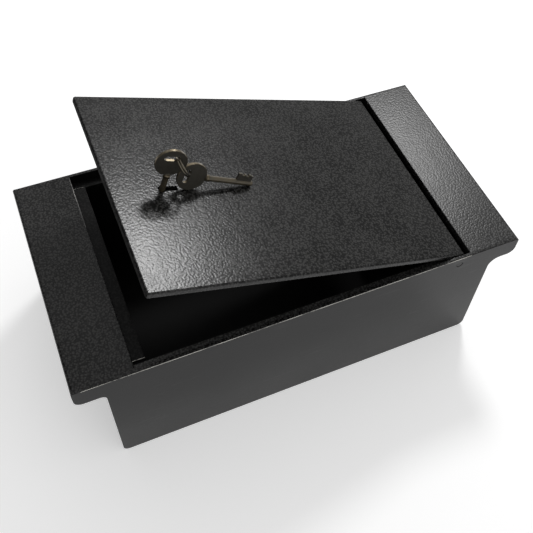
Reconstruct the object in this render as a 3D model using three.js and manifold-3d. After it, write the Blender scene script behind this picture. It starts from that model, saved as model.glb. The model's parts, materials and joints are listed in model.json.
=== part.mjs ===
// Floor safe for the gap between two floor joists: a welded steel box that hangs by its two
// shoulders, with a recessed lid on a full width hinge rod, a five lever key lock under the lid,
// one key in the lock and a spare key on the same split ring.
// Millimetres. X runs along the length from left to right, Y from front to back, Z up.
// The origin is the centre of the flat bottom. The lid is drawn shut and then swung open.

import * as THREE from 'three';
import { mergeVertices } from 'three/addons/utils/BufferGeometryUtils.js';
import Module from 'manifold-3d';

const wasm = await Module();
wasm.setup();

// Driving sizes of the box
const BOX_LENGTH = 347;
const SHOULDER_REACH = 24;
const WIDTH = 210;
const HEIGHT = 132;
const SHOULDER_DEPTH = 20;
const SHEET = 3;
const TOP_PLATE = 6;
const LEFT_RIM = 25.5;
const RIGHT_RIM = 25;
const SHOULDER_ROUND = 7;
const LEFT_INNER_ROUND = 5;
const RIGHT_INNER_ROUND = 10;
const BOTTOM_ROUND = 6;
const TOP_EDGE_ROUND = 2.5;
const PLAY = 0.3;

// Ledge under the left plate and the strips along the two long sides of the opening
const LEDGE_REACH = 10.3;
const LEDGE_HIDDEN = 14;
const LEDGE_THICK = 3;
const LEDGE_END_GAP = 1.4;
const STRIP_WIDTH = 8.6;
const STRIP_DROP = 3;
const STRIP_THICK = 3;
const STRIP_END_GAP = 3.4;

// Lid and its hinge rod
const LID_LEFT_GAP = 1;
const LID_RIGHT_GAP = 7;
const LID_SIDE_GAP = 1;
const LID_REST_GAP = 0.2;
const LID_EDGE_CHAMFER = 0.7;
const LID_OPEN_DEG = 19.04;
const ROD_DIAMETER = 6;
const ROD_INSET = 3;
const ROD_HOLE_PLAY = 0.06;
const ROD_END_INSET = 0.2;
const WELD_COUNT = 5;
const WELD_LENGTH = 18;
const WELD_LEG = 2.6;
const WELD_END_MARGIN = 4;

// Keyhole, barrel and keys
const KEY_FROM_LID_EDGE = 41.5;
const KEY_FROM_CENTRE = -6;
const KEYHOLE_ROUND_PLAY = 1.2;
const KEYHOLE_SLOT_PLAY = 1.3;
const KEYHOLE_END_PLAY = 3.4;
const KEY_TWIST_DEG = -5;
const KEY_SHAFT = 4.6;
const KEY_COLLAR = 6;
const KEY_COLLAR_LENGTH = 3;
const KEY_COLLAR_CHAMFER = 0.5;
const KEY_TIP_CHAMFER = 0.6;
const KEY_TIP_PLAY = 0.35;
const KEY_INTO_BOW = 1;
const BOW_DIAMETER = 24.8;
const BOW_THICK = 2.4;
const BOW_CENTRE_ABOVE_LID = 27.75;
const EYE_LENGTH = 12.4;
const EYE_HEIGHT = 4.4;
const EYE_FROM_BOW_CENTRE = 4.5;
const BIT_REACH = 9;
const BIT_THICK = 2.2;
const BIT_END_PLAY = 0.45;
const BOLT_CUT = 0.6;
const LEVER_CUTS = [2.0, 1.2, 2.6, 0.9, 1.7];
const BARREL_DIAMETER = 13;
const BARREL_FLANGE_THICK = 2;
const BARREL_FLANGE_PLAY = 1.3;
const BARREL_PLAY = 0.3;
const BARREL_BORE_PLAY = 0.35;
const BARREL_SLOT_PLAY = 0.5;

// Split ring, and the spare key that lies on the lid
const RING_DIAMETER = 19;
const RING_WIRE = 1.2;
const RING_PITCH = 1.65;
const RING_TURNS = 2;
const SPARE_FROM_LID_EDGE = 62.1;
const SPARE_FROM_CENTRE = -6.4;
const SPARE_SWING_DEG = -1;
const SPARE_ROLL_DEG = 82;

// Plates and screws that hold the lock under the lid
const HARD_PLATE = 3;
const HARD_PLATE_MARGIN = 3;
const CASE_SHEET = 2;
const CASE_WALL = 2.5;
const PLATE_CORNER = 1.5;
const COVER_THICK = 2;
const SCREW_DIAMETER = 4;
const SCREW_HEAD = 7.4;
const SCREW_HEAD_THICK = 2.2;
const SCREW_HEAD_CHAMFER = 0.8;
const SCREW_SLOT = 1;
const SCREW_SLOT_DEPTH = 1;
const SCREW_EDGE_PLAY = 1;
const SCREW_IN_LID = 3;

// Bolt: its head is 36 mm wide in the photograph, and the sizes below add up to that
const BOLT_HEAD_LENGTH = 17;
const BOLT_UNDER_GAP = 3.6;
const BOLT_THROW = 12;
const BOLT_TIP_PROUD = 0.6;
const BOLT_CORNER = 1;
const BOLT_BRIDGE = 3.8;
const TAIL_THICK = 3.5;
const TAIL_INSET = 1;
const TAIL_CORNER = 1.5;
const TAIL_IN_HEAD = 4;
const TAIL_SLOPE = 4;
const TAIL_END_PLAY = 1.5;
const RAIL_WIDTH = 1.7;
const SWEEP_PLAY = 0.8;
const SWEEP_CORNER = 3;
const TALON_RADIUS = 2.6;
const GUIDE_FROM_KEY = 21.5;
const GUIDE_WALL = 0.9;
const ANTI_SAW_PIN = 4.4;
const ANTI_SAW_SPACING = 14.6;
const ANTI_SAW_LENGTH = 12;
const ANTI_SAW_RECESS = 0.8;
const STUMP_LENGTH = 3.6;
const STUMP_WIDTH = 4.6;
const STUMP_BEHIND_KEY = 17.5;
const STUMP_BEHIND_POST = 1;
const STUMP_SIDE_METAL = 1;
const STUMP_RIGHT_METAL = 3;
const STUMP_LEFT_METAL = 7;

// Levers, their post and their spring
const LEVER_THICK = 1.8;
const LEVER_GAP = 0.35;
const LEVER_FROM_KEY = 19;
const LEVER_HUB = 11;
const LEVER_HUB_PLAY = 1;
const LEVER_END_PLAY = 0.9;
const LEVER_TOP = 6.5;
const LEVER_BOTTOM = 12;
const LEVER_CORNER = 3;
const LEVER_HEEL_CORNER = 2;
const LEVER_BORE_PLAY = 0.1;
const LEVER_BELLY_STEP = 0.35;
const POCKET_PLAY = 1;
const POCKET_FRONT = 3.4;
const POCKET_BACK = 0.8;
const GATE_PLAY = 0.5;
const POST_DIAMETER = 4;
const POST_FROM_KEY = 35;
const SPRING_STRIP = 0.6;
const SPRING_FINGER = 1.2;
const SPRING_REACH = 20;
const SPRING_SPACE = 5;
const SPRING_TIP = 1;

// Steps of the round shapes, and how far a cutter runs past what it cuts
const ARC_STEPS = 6;
const SMALL_SIDES = 16;
const ROUND_SIDES = 24;
const LARGE_SIDES = 32;
const BOW_SIDES = 40;
const WIRE_SIDES = 8;
const RING_STEPS_PER_TURN = 28;
const OVERRUN = 1;
const MERGE_WITHIN = 1e-4;
const ROUND_END_SLACK = 0.01;

// Worked out from the sizes above: box, lid and the layers under the lid
const WALL_X = BOX_LENGTH / 2;
const OUTER_X = WALL_X + SHOULDER_REACH;
const OUTER_Y = WIDTH / 2;
const INNER_Y = OUTER_Y - SHEET;
const SHOULDER_Z = HEIGHT - SHOULDER_DEPTH;
const PLATE_UNDER_Z = HEIGHT - TOP_PLATE;
const OPENING_LEFT = -WALL_X + LEFT_RIM;
const OPENING_RIGHT = WALL_X - RIGHT_RIM;
const LID_LEFT = OPENING_LEFT + LID_LEFT_GAP;
const LID_RIGHT = OPENING_RIGHT - LID_RIGHT_GAP;
const LID_WIDTH = 2 * (INNER_Y - LID_SIDE_GAP);
const LID_THICK = TOP_PLATE - LID_REST_GAP;
const LID_UNDER_Z = HEIGHT - LID_THICK;
const PIVOT_X = LID_RIGHT - ROD_INSET;
const PIVOT_Z = LID_UNDER_Z - PLAY - ROD_DIAMETER / 2;
const LEVER_COUNT = LEVER_CUTS.length;
const LEVER_PITCH = LEVER_THICK + LEVER_GAP;
const HARD_TOP_Z = LID_UNDER_Z - PLAY;
const CASE_TOP_Z = HARD_TOP_Z - HARD_PLATE - PLAY;
const CASE_INNER_Z = CASE_TOP_Z - CASE_SHEET;
const BOLT_TOP_Z = CASE_INNER_Z - PLAY;
const TAIL_UNDER_Z = BOLT_TOP_Z - TAIL_THICK;
const LEVER_TOP_Z = TAIL_UNDER_Z - LEVER_GAP;
const COVER_TOP_Z = LEVER_TOP_Z - LEVER_COUNT * LEVER_PITCH;
const COVER_UNDER_Z = COVER_TOP_Z - COVER_THICK;
const BOLT_UNDER_Z = COVER_TOP_Z + BOLT_UNDER_GAP;

// Worked out: keys, barrel and keyhole
const KEY_X = LID_LEFT + KEY_FROM_LID_EDGE;
const KEY_Y = KEY_FROM_CENTRE;
const TIP_Z = COVER_UNDER_Z + KEY_TIP_PLAY;
const BOW_RADIUS = BOW_DIAMETER / 2;
const KEY_TIP_FROM_BOW = HEIGHT + BOW_CENTRE_ABOVE_LID - TIP_Z;
const KEY_SHAFT_LENGTH = KEY_TIP_FROM_BOW - BOW_RADIUS;
const KEYHOLE_RADIUS = KEY_SHAFT / 2 + KEYHOLE_ROUND_PLAY;
const KEYHOLE_SLOT = BIT_THICK + 2 * KEYHOLE_SLOT_PLAY;
const KEYHOLE_REACH = BIT_REACH + KEYHOLE_END_PLAY;
const SWEEP = BIT_REACH + SWEEP_PLAY;
const FLANGE_RADIUS = SWEEP - BARREL_FLANGE_PLAY;

// Worked out: the plan of the lock, from the key outwards
const BOLT_HALF_WIDTH = SWEEP + GUIDE_WALL + POST_DIAMETER + 2 * PLAY + RAIL_WIDTH + TAIL_INSET;
const BOLT_FRONT = KEY_Y - BOLT_HALF_WIDTH;
const BOLT_BACK = KEY_Y + BOLT_HALF_WIDTH;
const BOLT_HEAD_BACK = KEY_X - SWEEP - BOLT_BRIDGE;
const BOLT_TIP_X = BOLT_HEAD_BACK - BOLT_HEAD_LENGTH;
const BOLT_MIDDLE_Z = (BOLT_UNDER_Z + BOLT_TOP_Z) / 2;
const POST_X = KEY_X + POST_FROM_KEY;
const POST_Y = KEY_Y + LEVER_FROM_KEY;
const GUIDE_X = KEY_X + GUIDE_FROM_KEY;
const GUIDE_Y = KEY_Y - SWEEP - GUIDE_WALL - PLAY - POST_DIAMETER / 2;
const STUMP_X = KEY_X + STUMP_BEHIND_KEY;
const STUMP_Y = POST_Y + STUMP_BEHIND_POST;
const CASE_LEFT = BOLT_TIP_X + BOLT_TIP_PROUD;
const CASE_RIGHT = POST_X + LEVER_HUB / 2 + LEVER_HUB_PLAY + CASE_WALL;
const CASE_BACK = POST_Y + LEVER_TOP + SPRING_SPACE + CASE_WALL;
const CASE_FRONT = 2 * KEY_Y - CASE_BACK;
const LEVER_LEFT = BOLT_HEAD_BACK + LEVER_END_PLAY;
const SCREW_INSET = CASE_WALL + SCREW_DIAMETER / 2 + SCREW_EDGE_PLAY;

const colours = {
  hammered: 0x26272a,
  satin: 0x2b2c2e,
  steel: 0x8d8f92,
  hardSteel: 0x55585c,
  brass: 0xb08d4a,
  nickel: 0x6f6247,
  spring: 0xb9bcc0,
};

function paint(colour, roughness, metalness) {
  return new THREE.MeshStandardMaterial({ color: colour, roughness, metalness });
}

const hammeredPaint = () => paint(colours.hammered, 0.42, 0.25);
const satinPaint = () => paint(colours.satin, 0.5, 0.15);
const brightSteel = () => paint(colours.steel, 0.35, 0.9);
const hardSteel = () => paint(colours.hardSteel, 0.4, 0.9);
const brassMetal = () => paint(colours.brass, 0.35, 0.9);
const keyMetal = () => paint(colours.nickel, 0.3, 0.95);
const springSteel = () => paint(colours.spring, 0.25, 0.95);

// Solids and their cuts

function solidOf(geometry) {
  const bare = geometry.clone();
  bare.deleteAttribute('normal');
  bare.deleteAttribute('uv');
  const merged = mergeVertices(bare, MERGE_WITHIN);
  return new wasm.Manifold(new wasm.Mesh({
    numProp: 3,
    vertProperties: new Float32Array(merged.attributes.position.array),
    triVerts: new Uint32Array(merged.index.array),
  }));
}

function geometryOf(solid) {
  const mesh = solid.getMesh();
  const geometry = new THREE.BufferGeometry();
  geometry.setAttribute('position', new THREE.BufferAttribute(mesh.vertProperties, 3));
  geometry.setIndex(new THREE.BufferAttribute(mesh.triVerts, 1));
  geometry.computeVertexNormals();
  return geometry;
}

function cut(geometry, ...tools) {
  return geometryOf(tools.reduce((left, tool) => left.subtract(solidOf(tool)), solidOf(geometry)));
}

function join(geometry, ...others) {
  return geometryOf(others.reduce((sum, other) => sum.add(solidOf(other)), solidOf(geometry)));
}

// Outlines and the bodies drawn from them

// A closed outline through corners [x, y, radius], with a round arc at each corner that has one.
function roundedOutline(corners) {
  const shape = new THREE.Shape();
  corners.forEach(([x, y, radius = 0], index) => {
    const corner = new THREE.Vector2(x, y);
    if (radius === 0) {
      if (index === 0) shape.moveTo(x, y);
      else shape.lineTo(x, y);
      return;
    }
    const towards = ([nextX, nextY]) => new THREE.Vector2(nextX, nextY).sub(corner).normalize();
    const before = towards(corners.at(index - 1));
    const after = towards(corners[(index + 1) % corners.length]);
    const half = Math.acos(THREE.MathUtils.clamp(before.dot(after), -1, 1)) / 2;
    const tangent = radius / Math.tan(half);
    const start = corner.clone().addScaledVector(before, tangent);
    const end = corner.clone().addScaledVector(after, tangent);
    const inwards = before.clone().add(after).normalize();
    const centre = corner.clone().addScaledVector(inwards, radius / Math.sin(half));
    const clockwise = before.clone().negate().cross(after) < 0;
    if (index === 0) shape.moveTo(start.x, start.y);
    else shape.lineTo(start.x, start.y);
    const startAngle = start.clone().sub(centre).angle();
    const endAngle = end.clone().sub(centre).angle();
    shape.absarc(centre.x, centre.y, radius, startAngle, endAngle, clockwise);
  });
  shape.closePath();
  return shape;
}

function rectangle(left, front, right, back, radius = 0) {
  return roundedOutline([
    [left, front, radius],
    [right, front, radius],
    [right, back, radius],
    [left, back, radius],
  ]);
}

// A body with its outline in X and Y, standing from low to high along Z.
function upright(shape, low, high, curveSegments = ARC_STEPS) {
  const settings = { depth: high - low, bevelEnabled: false, curveSegments };
  return new THREE.ExtrudeGeometry(shape, settings).translate(0, 0, low);
}

// A body with its outline in X and Z, reaching from front to back along Y.
function crosswise(shape, front, back, curveSegments = ARC_STEPS) {
  const settings = { depth: back - front, bevelEnabled: false, curveSegments };
  return new THREE.ExtrudeGeometry(shape, settings).rotateX(Math.PI / 2).translate(0, back, 0);
}

function roundBar(x, y, radius, low, high, sides = ROUND_SIDES) {
  const geometry = new THREE.CylinderGeometry(radius, radius, high - low, sides);
  return geometry.rotateX(Math.PI / 2).translate(x, y, (low + high) / 2);
}

function roundBarAlongY(x, z, radius, front, back, sides = ROUND_SIDES) {
  return new THREE.CylinderGeometry(radius, radius, back - front, sides).translate(x, (front + back) / 2, z);
}

// A hole whose flats stay outside a shaft of the given radius.
function holeRadius(radius, play, sides = ROUND_SIDES) {
  return (radius + play) / Math.cos(Math.PI / sides);
}

function piece(parent, name, geometry, material) {
  const mesh = new THREE.Mesh(geometry, material);
  mesh.name = name;
  parent.add(mesh);
  return mesh;
}

// Box

// The T shaped outline that both side plates share.
function sidePlateOutline() {
  return roundedOutline([
    [-WALL_X, 0, BOTTOM_ROUND],
    [WALL_X, 0, BOTTOM_ROUND],
    [WALL_X, SHOULDER_Z, RIGHT_INNER_ROUND],
    [OUTER_X, SHOULDER_Z, SHOULDER_ROUND],
    [OUTER_X, HEIGHT],
    [-OUTER_X, HEIGHT],
    [-OUTER_X, SHOULDER_Z, SHOULDER_ROUND],
    [-WALL_X, SHOULDER_Z, LEFT_INNER_ROUND],
  ]);
}

function sidePlate(front, back) {
  const radius = holeRadius(ROD_DIAMETER / 2, ROD_HOLE_PLAY);
  const hole = roundBarAlongY(PIVOT_X, PIVOT_Z, radius, front - OVERRUN, back + OVERRUN);
  return cut(crosswise(sidePlateOutline(), front, back), hole);
}

// One sheet folded into the floor, both end walls, the undersides of the shoulders and their ends.
function bodyPan() {
  const outer = [
    [-OUTER_X, PLATE_UNDER_Z],
    [-OUTER_X, SHOULDER_Z, SHOULDER_ROUND],
    [-WALL_X, SHOULDER_Z, LEFT_INNER_ROUND],
    [-WALL_X, 0, BOTTOM_ROUND],
    [WALL_X, 0, BOTTOM_ROUND],
    [WALL_X, SHOULDER_Z, RIGHT_INNER_ROUND],
    [OUTER_X, SHOULDER_Z, SHOULDER_ROUND],
    [OUTER_X, PLATE_UNDER_Z],
  ];
  const inner = [
    [OUTER_X - SHEET, PLATE_UNDER_Z],
    [OUTER_X - SHEET, SHOULDER_Z + SHEET, SHOULDER_ROUND - SHEET],
    [WALL_X - SHEET, SHOULDER_Z + SHEET, RIGHT_INNER_ROUND + SHEET],
    [WALL_X - SHEET, SHEET, BOTTOM_ROUND - SHEET],
    [-WALL_X + SHEET, SHEET, BOTTOM_ROUND - SHEET],
    [-WALL_X + SHEET, SHOULDER_Z + SHEET, LEFT_INNER_ROUND + SHEET],
    [-OUTER_X + SHEET, SHOULDER_Z + SHEET, SHOULDER_ROUND - SHEET],
    [-OUTER_X + SHEET, PLATE_UNDER_Z],
  ];
  return crosswise(roundedOutline([...outer, ...inner]), -INNER_Y, INNER_Y);
}

// A top plate from the opening's edge to the end of the safe, its outer edge rounded over.
function topPlate(innerX, side) {
  const outline = roundedOutline([
    [innerX, PLATE_UNDER_Z],
    [side * OUTER_X, PLATE_UNDER_Z],
    [side * OUTER_X, HEIGHT, TOP_EDGE_ROUND],
    [innerX, HEIGHT],
  ]);
  return crosswise(outline, -INNER_Y, INNER_Y);
}

function ledge() {
  const half = INNER_Y - STRIP_WIDTH - LEDGE_END_GAP;
  const outline = rectangle(OPENING_LEFT - LEDGE_HIDDEN, -half, OPENING_LEFT + LEDGE_REACH, half);
  return upright(outline, PLATE_UNDER_Z - LEDGE_THICK, PLATE_UNDER_Z);
}

function sideStrip(front, back) {
  const top = PLATE_UNDER_Z - STRIP_DROP;
  const right = PIVOT_X - ROD_DIAMETER / 2 - WELD_LEG - STRIP_END_GAP;
  const outline = rectangle(-WALL_X + SHEET, front, right, back);
  return upright(outline, top - STRIP_THICK, top);
}

function box() {
  const group = new THREE.Group();
  piece(group, 'front_plate', sidePlate(-OUTER_Y, -INNER_Y), satinPaint());
  piece(group, 'back_plate', sidePlate(INNER_Y, OUTER_Y), satinPaint());
  piece(group, 'body_pan', bodyPan(), satinPaint());
  piece(group, 'left_top_plate', topPlate(OPENING_LEFT, -1), hammeredPaint());
  piece(group, 'right_top_plate', topPlate(OPENING_RIGHT, 1), hammeredPaint());
  piece(group, 'left_ledge', ledge(), hammeredPaint());
  piece(group, 'front_strip', sideStrip(-INNER_Y, -INNER_Y + STRIP_WIDTH), hammeredPaint());
  piece(group, 'back_strip', sideStrip(INNER_Y - STRIP_WIDTH, INNER_Y), hammeredPaint());
  return group;
}

// Lid, drawn shut

// The keyhole from low to high: a round hole for the shaft or barrel and a slot for the bit.
function keyholeCutter(radius, low, high) {
  const slot = rectangle(KEY_X, KEY_Y - KEYHOLE_SLOT / 2, KEY_X + KEYHOLE_REACH, KEY_Y + KEYHOLE_SLOT / 2);
  return join(
    roundBar(KEY_X, KEY_Y, radius, low - OVERRUN, high + OVERRUN),
    upright(slot, low - OVERRUN, high + OVERRUN),
  );
}

function screwHoles(low, high) {
  const radius = holeRadius(SCREW_DIAMETER / 2, PLAY, SMALL_SIDES);
  return screwPlaces().map(([x, y]) => roundBar(x, y, radius, low - OVERRUN, high, SMALL_SIDES));
}

function screwPlaces() {
  return [CASE_LEFT + SCREW_INSET, CASE_RIGHT - SCREW_INSET].flatMap((x) => (
    [CASE_FRONT + SCREW_INSET, CASE_BACK - SCREW_INSET].map((y) => [x, y])
  ));
}

function lidPlate() {
  const half = LID_WIDTH / 2 - LID_EDGE_CHAMFER;
  const outline = rectangle(LID_LEFT + LID_EDGE_CHAMFER, -half, LID_RIGHT - LID_EDGE_CHAMFER, half);
  const plate = new THREE.ExtrudeGeometry(outline, {
    depth: LID_THICK - 2 * LID_EDGE_CHAMFER,
    bevelThickness: LID_EDGE_CHAMFER,
    bevelSize: LID_EDGE_CHAMFER,
    bevelSegments: 1,
  }).translate(0, 0, LID_UNDER_Z + LID_EDGE_CHAMFER);
  const keyhole = keyholeCutter(KEYHOLE_RADIUS, LID_UNDER_Z, HEIGHT);
  return cut(plate, keyhole, ...screwHoles(LID_UNDER_Z, LID_UNDER_Z + SCREW_IN_LID + PLAY));
}

// The hinge rod with its short fillet welds, whose tops stay just under the lid.
function hingeRod() {
  const reach = OUTER_Y - ROD_END_INSET;
  const rod = roundBarAlongY(PIVOT_X, PIVOT_Z, ROD_DIAMETER / 2, -reach, reach);
  const top = LID_UNDER_Z - PLAY;
  const pitch = (LID_WIDTH - 2 * WELD_END_MARGIN - WELD_LENGTH) / (WELD_COUNT - 1);
  const welds = Array.from({ length: WELD_COUNT }, (_, index) => {
    const middle = (index - (WELD_COUNT - 1) / 2) * pitch;
    const fillet = new THREE.Shape([
      new THREE.Vector2(PIVOT_X, top),
      new THREE.Vector2(PIVOT_X - ROD_DIAMETER / 2 - WELD_LEG, top),
      new THREE.Vector2(PIVOT_X - ROD_DIAMETER / 2 + PLAY, PIVOT_Z),
      new THREE.Vector2(PIVOT_X, PIVOT_Z),
    ]);
    return crosswise(fillet, middle - WELD_LENGTH / 2, middle + WELD_LENGTH / 2);
  });
  return join(rod, ...welds);
}

// Lock, drawn with the lid shut and the bolt drawn back

function hardPlate() {
  const outline = rectangle(
    CASE_LEFT + HARD_PLATE_MARGIN,
    CASE_FRONT + PLAY,
    CASE_RIGHT - PLAY,
    CASE_BACK - PLAY,
    PLATE_CORNER,
  );
  const low = HARD_TOP_Z - HARD_PLATE;
  const keyhole = keyholeCutter(KEYHOLE_RADIUS, low, HARD_TOP_Z);
  return cut(upright(outline, low, HARD_TOP_Z), keyhole, ...screwHoles(low, HARD_TOP_Z + OVERRUN));
}

// A tray that is open towards the cover, with the barrel's hole in its base and the bolt's window.
function lockCase() {
  const outline = rectangle(CASE_LEFT, CASE_FRONT, CASE_RIGHT, CASE_BACK, PLATE_CORNER);
  const outer = upright(outline, COVER_TOP_Z + PLAY, CASE_TOP_Z);
  const hollow = upright(
    rectangle(CASE_LEFT + CASE_WALL, CASE_FRONT + CASE_WALL, CASE_RIGHT - CASE_WALL, CASE_BACK - CASE_WALL),
    COVER_TOP_Z - OVERRUN,
    CASE_INNER_Z,
  );
  const barrelHole = keyholeCutter(BARREL_DIAMETER / 2 + BARREL_PLAY, CASE_INNER_Z, CASE_TOP_Z);
  const window = upright(
    rectangle(CASE_LEFT - OVERRUN, BOLT_FRONT - PLAY, CASE_LEFT + CASE_WALL + OVERRUN, BOLT_BACK + PLAY),
    BOLT_UNDER_Z - PLAY,
    CASE_INNER_Z,
  );
  return cut(outer, hollow, barrelHole, window, ...screwHoles(CASE_INNER_Z, CASE_TOP_Z + OVERRUN));
}

function lockCover() {
  const outline = rectangle(
    CASE_LEFT + PLAY,
    CASE_FRONT + PLAY,
    CASE_RIGHT - PLAY,
    CASE_BACK - PLAY,
    PLATE_CORNER,
  );
  const radius = holeRadius(KEY_SHAFT / 2, PLAY);
  const pilot = roundBar(KEY_X, KEY_Y, radius, COVER_UNDER_Z - OVERRUN, COVER_TOP_Z + OVERRUN);
  const plate = upright(outline, COVER_UNDER_Z, COVER_TOP_Z);
  return cut(plate, pilot, ...screwHoles(COVER_UNDER_Z, COVER_TOP_Z + OVERRUN));
}

function coverScrew([x, y]) {
  const low = COVER_UNDER_Z - PLAY - SCREW_HEAD_THICK;
  const high = LID_UNDER_Z + SCREW_IN_LID;
  const profile = [
    [0, low],
    [SCREW_HEAD / 2 - SCREW_HEAD_CHAMFER, low],
    [SCREW_HEAD / 2, low + SCREW_HEAD_CHAMFER],
    [SCREW_HEAD / 2, low + SCREW_HEAD_THICK],
    [SCREW_DIAMETER / 2, low + SCREW_HEAD_THICK],
    [SCREW_DIAMETER / 2, high],
    [0, high],
  ].map(([radius, height]) => new THREE.Vector2(radius, height));
  const screw = new THREE.LatheGeometry(profile, SMALL_SIDES).rotateX(Math.PI / 2).translate(x, y, 0);
  const slot = new THREE.BoxGeometry(SCREW_HEAD + 2 * OVERRUN, SCREW_SLOT, 2 * SCREW_SLOT_DEPTH);
  return cut(screw, slot.translate(x, y, low));
}

// The post that the levers turn on, and the one that steadies the bolt's tail.
function post(x, y) {
  return roundBar(x, y, POST_DIAMETER / 2, COVER_TOP_Z + PLAY, CASE_INNER_Z - PLAY);
}

// A comb of flat spring: a strip on the case wall with a finger on each lever's back near the post.
function leverSpring() {
  const back = CASE_BACK - CASE_WALL - PLAY;
  const leverBack = POST_Y + LEVER_TOP;
  const left = POST_X - SPRING_REACH;
  const strip = upright(
    rectangle(left, back - SPRING_STRIP, POST_X + SPRING_TIP, back),
    COVER_TOP_Z + LEVER_GAP,
    LEVER_TOP_Z,
  );
  const fingers = Array.from({ length: LEVER_COUNT }, (_, index) => {
    const middle = LEVER_TOP_Z - index * LEVER_PITCH - LEVER_THICK / 2;
    const finger = new THREE.Shape([
      new THREE.Vector2(left, back),
      new THREE.Vector2(left, back - SPRING_STRIP),
      new THREE.Vector2(POST_X - SPRING_TIP, leverBack + PLAY),
      new THREE.Vector2(POST_X + SPRING_TIP, leverBack + PLAY),
      new THREE.Vector2(POST_X + SPRING_TIP, leverBack + PLAY + SPRING_STRIP),
    ]);
    return upright(finger, middle - SPRING_FINGER / 2, middle + SPRING_FINGER / 2);
  });
  return join(strip, ...fingers);
}

// The bolt's thin tail: two rails that frame the key's sweep, the back one carrying the stump.
function boltTail() {
  const rootX = BOLT_HEAD_BACK - TAIL_IN_HEAD;
  const frontY = BOLT_FRONT + TAIL_INSET;
  const slotY = KEY_Y - SWEEP;
  const frontRailEnd = CASE_RIGHT - CASE_WALL - PLAY - TAIL_END_PLAY;
  const backRailEnd = STUMP_X + STUMP_LENGTH / 2 + STUMP_RIGHT_METAL;
  const railStart = STUMP_X - STUMP_LENGTH / 2 - STUMP_LEFT_METAL;
  const railY = STUMP_Y + STUMP_WIDTH / 2 + STUMP_SIDE_METAL;
  return upright(roundedOutline([
    [rootX, frontY],
    [frontRailEnd, frontY, TAIL_CORNER],
    [frontRailEnd, slotY, TAIL_CORNER],
    [backRailEnd, slotY, TAIL_CORNER],
    [backRailEnd, railY, TAIL_CORNER],
    [railStart, railY, TAIL_CORNER],
    [railStart - TAIL_SLOPE, BOLT_BACK - TAIL_INSET, TAIL_CORNER],
    [rootX, BOLT_BACK - TAIL_INSET],
  ]), TAIL_UNDER_Z, BOLT_TOP_Z);
}

// Bolt: a thick head in the case's window, and its tail with the key's window, talon and guide slot.
function lockBolt() {
  const head = upright(
    rectangle(BOLT_TIP_X, BOLT_FRONT, BOLT_HEAD_BACK, BOLT_BACK, BOLT_CORNER),
    BOLT_UNDER_Z,
    BOLT_TOP_Z,
  );
  const low = BOLT_UNDER_Z - OVERRUN;
  const high = BOLT_TOP_Z + OVERRUN;
  const sweepWindow = upright(
    rectangle(KEY_X - SWEEP, KEY_Y - SWEEP, KEY_X + SWEEP + BOLT_THROW, KEY_Y + SWEEP, SWEEP_CORNER),
    low,
    high,
  );
  const talon = roundBar(KEY_X + BOLT_THROW / 2, KEY_Y + SWEEP, TALON_RADIUS, low, high, SMALL_SIDES);
  const guideReach = POST_DIAMETER / 2 + PLAY;
  const guideSlot = upright(rectangle(
    GUIDE_X - guideReach,
    GUIDE_Y - guideReach,
    GUIDE_X + guideReach + BOLT_THROW,
    GUIDE_Y + guideReach,
  ), low, high);
  return cut(join(head, boltTail()), sweepWindow, talon, guideSlot, ...antiSawBores());
}

function antiSawPlaces() {
  return [-ANTI_SAW_SPACING / 2, ANTI_SAW_SPACING / 2].map((offset) => KEY_Y + offset);
}

function barAlongX(y, z, radius, left, right) {
  const geometry = new THREE.CylinderGeometry(radius, radius, right - left, SMALL_SIDES);
  return geometry.rotateZ(Math.PI / 2).translate((left + right) / 2, y, z);
}

function antiSawBores() {
  const right = BOLT_TIP_X + ANTI_SAW_RECESS + ANTI_SAW_LENGTH + PLAY;
  return antiSawPlaces().map((y) => (
    barAlongX(y, BOLT_MIDDLE_Z, ANTI_SAW_PIN / 2 + PLAY, BOLT_TIP_X - OVERRUN, right)
  ));
}

function antiSawPin(y) {
  const left = BOLT_TIP_X + ANTI_SAW_RECESS;
  return barAlongX(y, BOLT_MIDDLE_Z, ANTI_SAW_PIN / 2, left, left + ANTI_SAW_LENGTH);
}

function boltStump() {
  const outline = rectangle(
    STUMP_X - STUMP_LENGTH / 2,
    STUMP_Y - STUMP_WIDTH / 2,
    STUMP_X + STUMP_LENGTH / 2,
    STUMP_Y + STUMP_WIDTH / 2,
  );
  return upright(outline, COVER_TOP_Z + 2 * PLAY, TAIL_UNDER_Z - PLAY);
}

// The pocket that a lever leaves free round the stump, so that it can lift and drop there.
function stumpPocket(x, low, high) {
  return upright(rectangle(
    x - STUMP_LENGTH / 2 - POCKET_PLAY,
    STUMP_Y - STUMP_WIDTH / 2 - POCKET_FRONT,
    x + STUMP_LENGTH / 2 + POCKET_PLAY,
    STUMP_Y + STUMP_WIDTH / 2 + POCKET_BACK,
  ), low, high);
}

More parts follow.
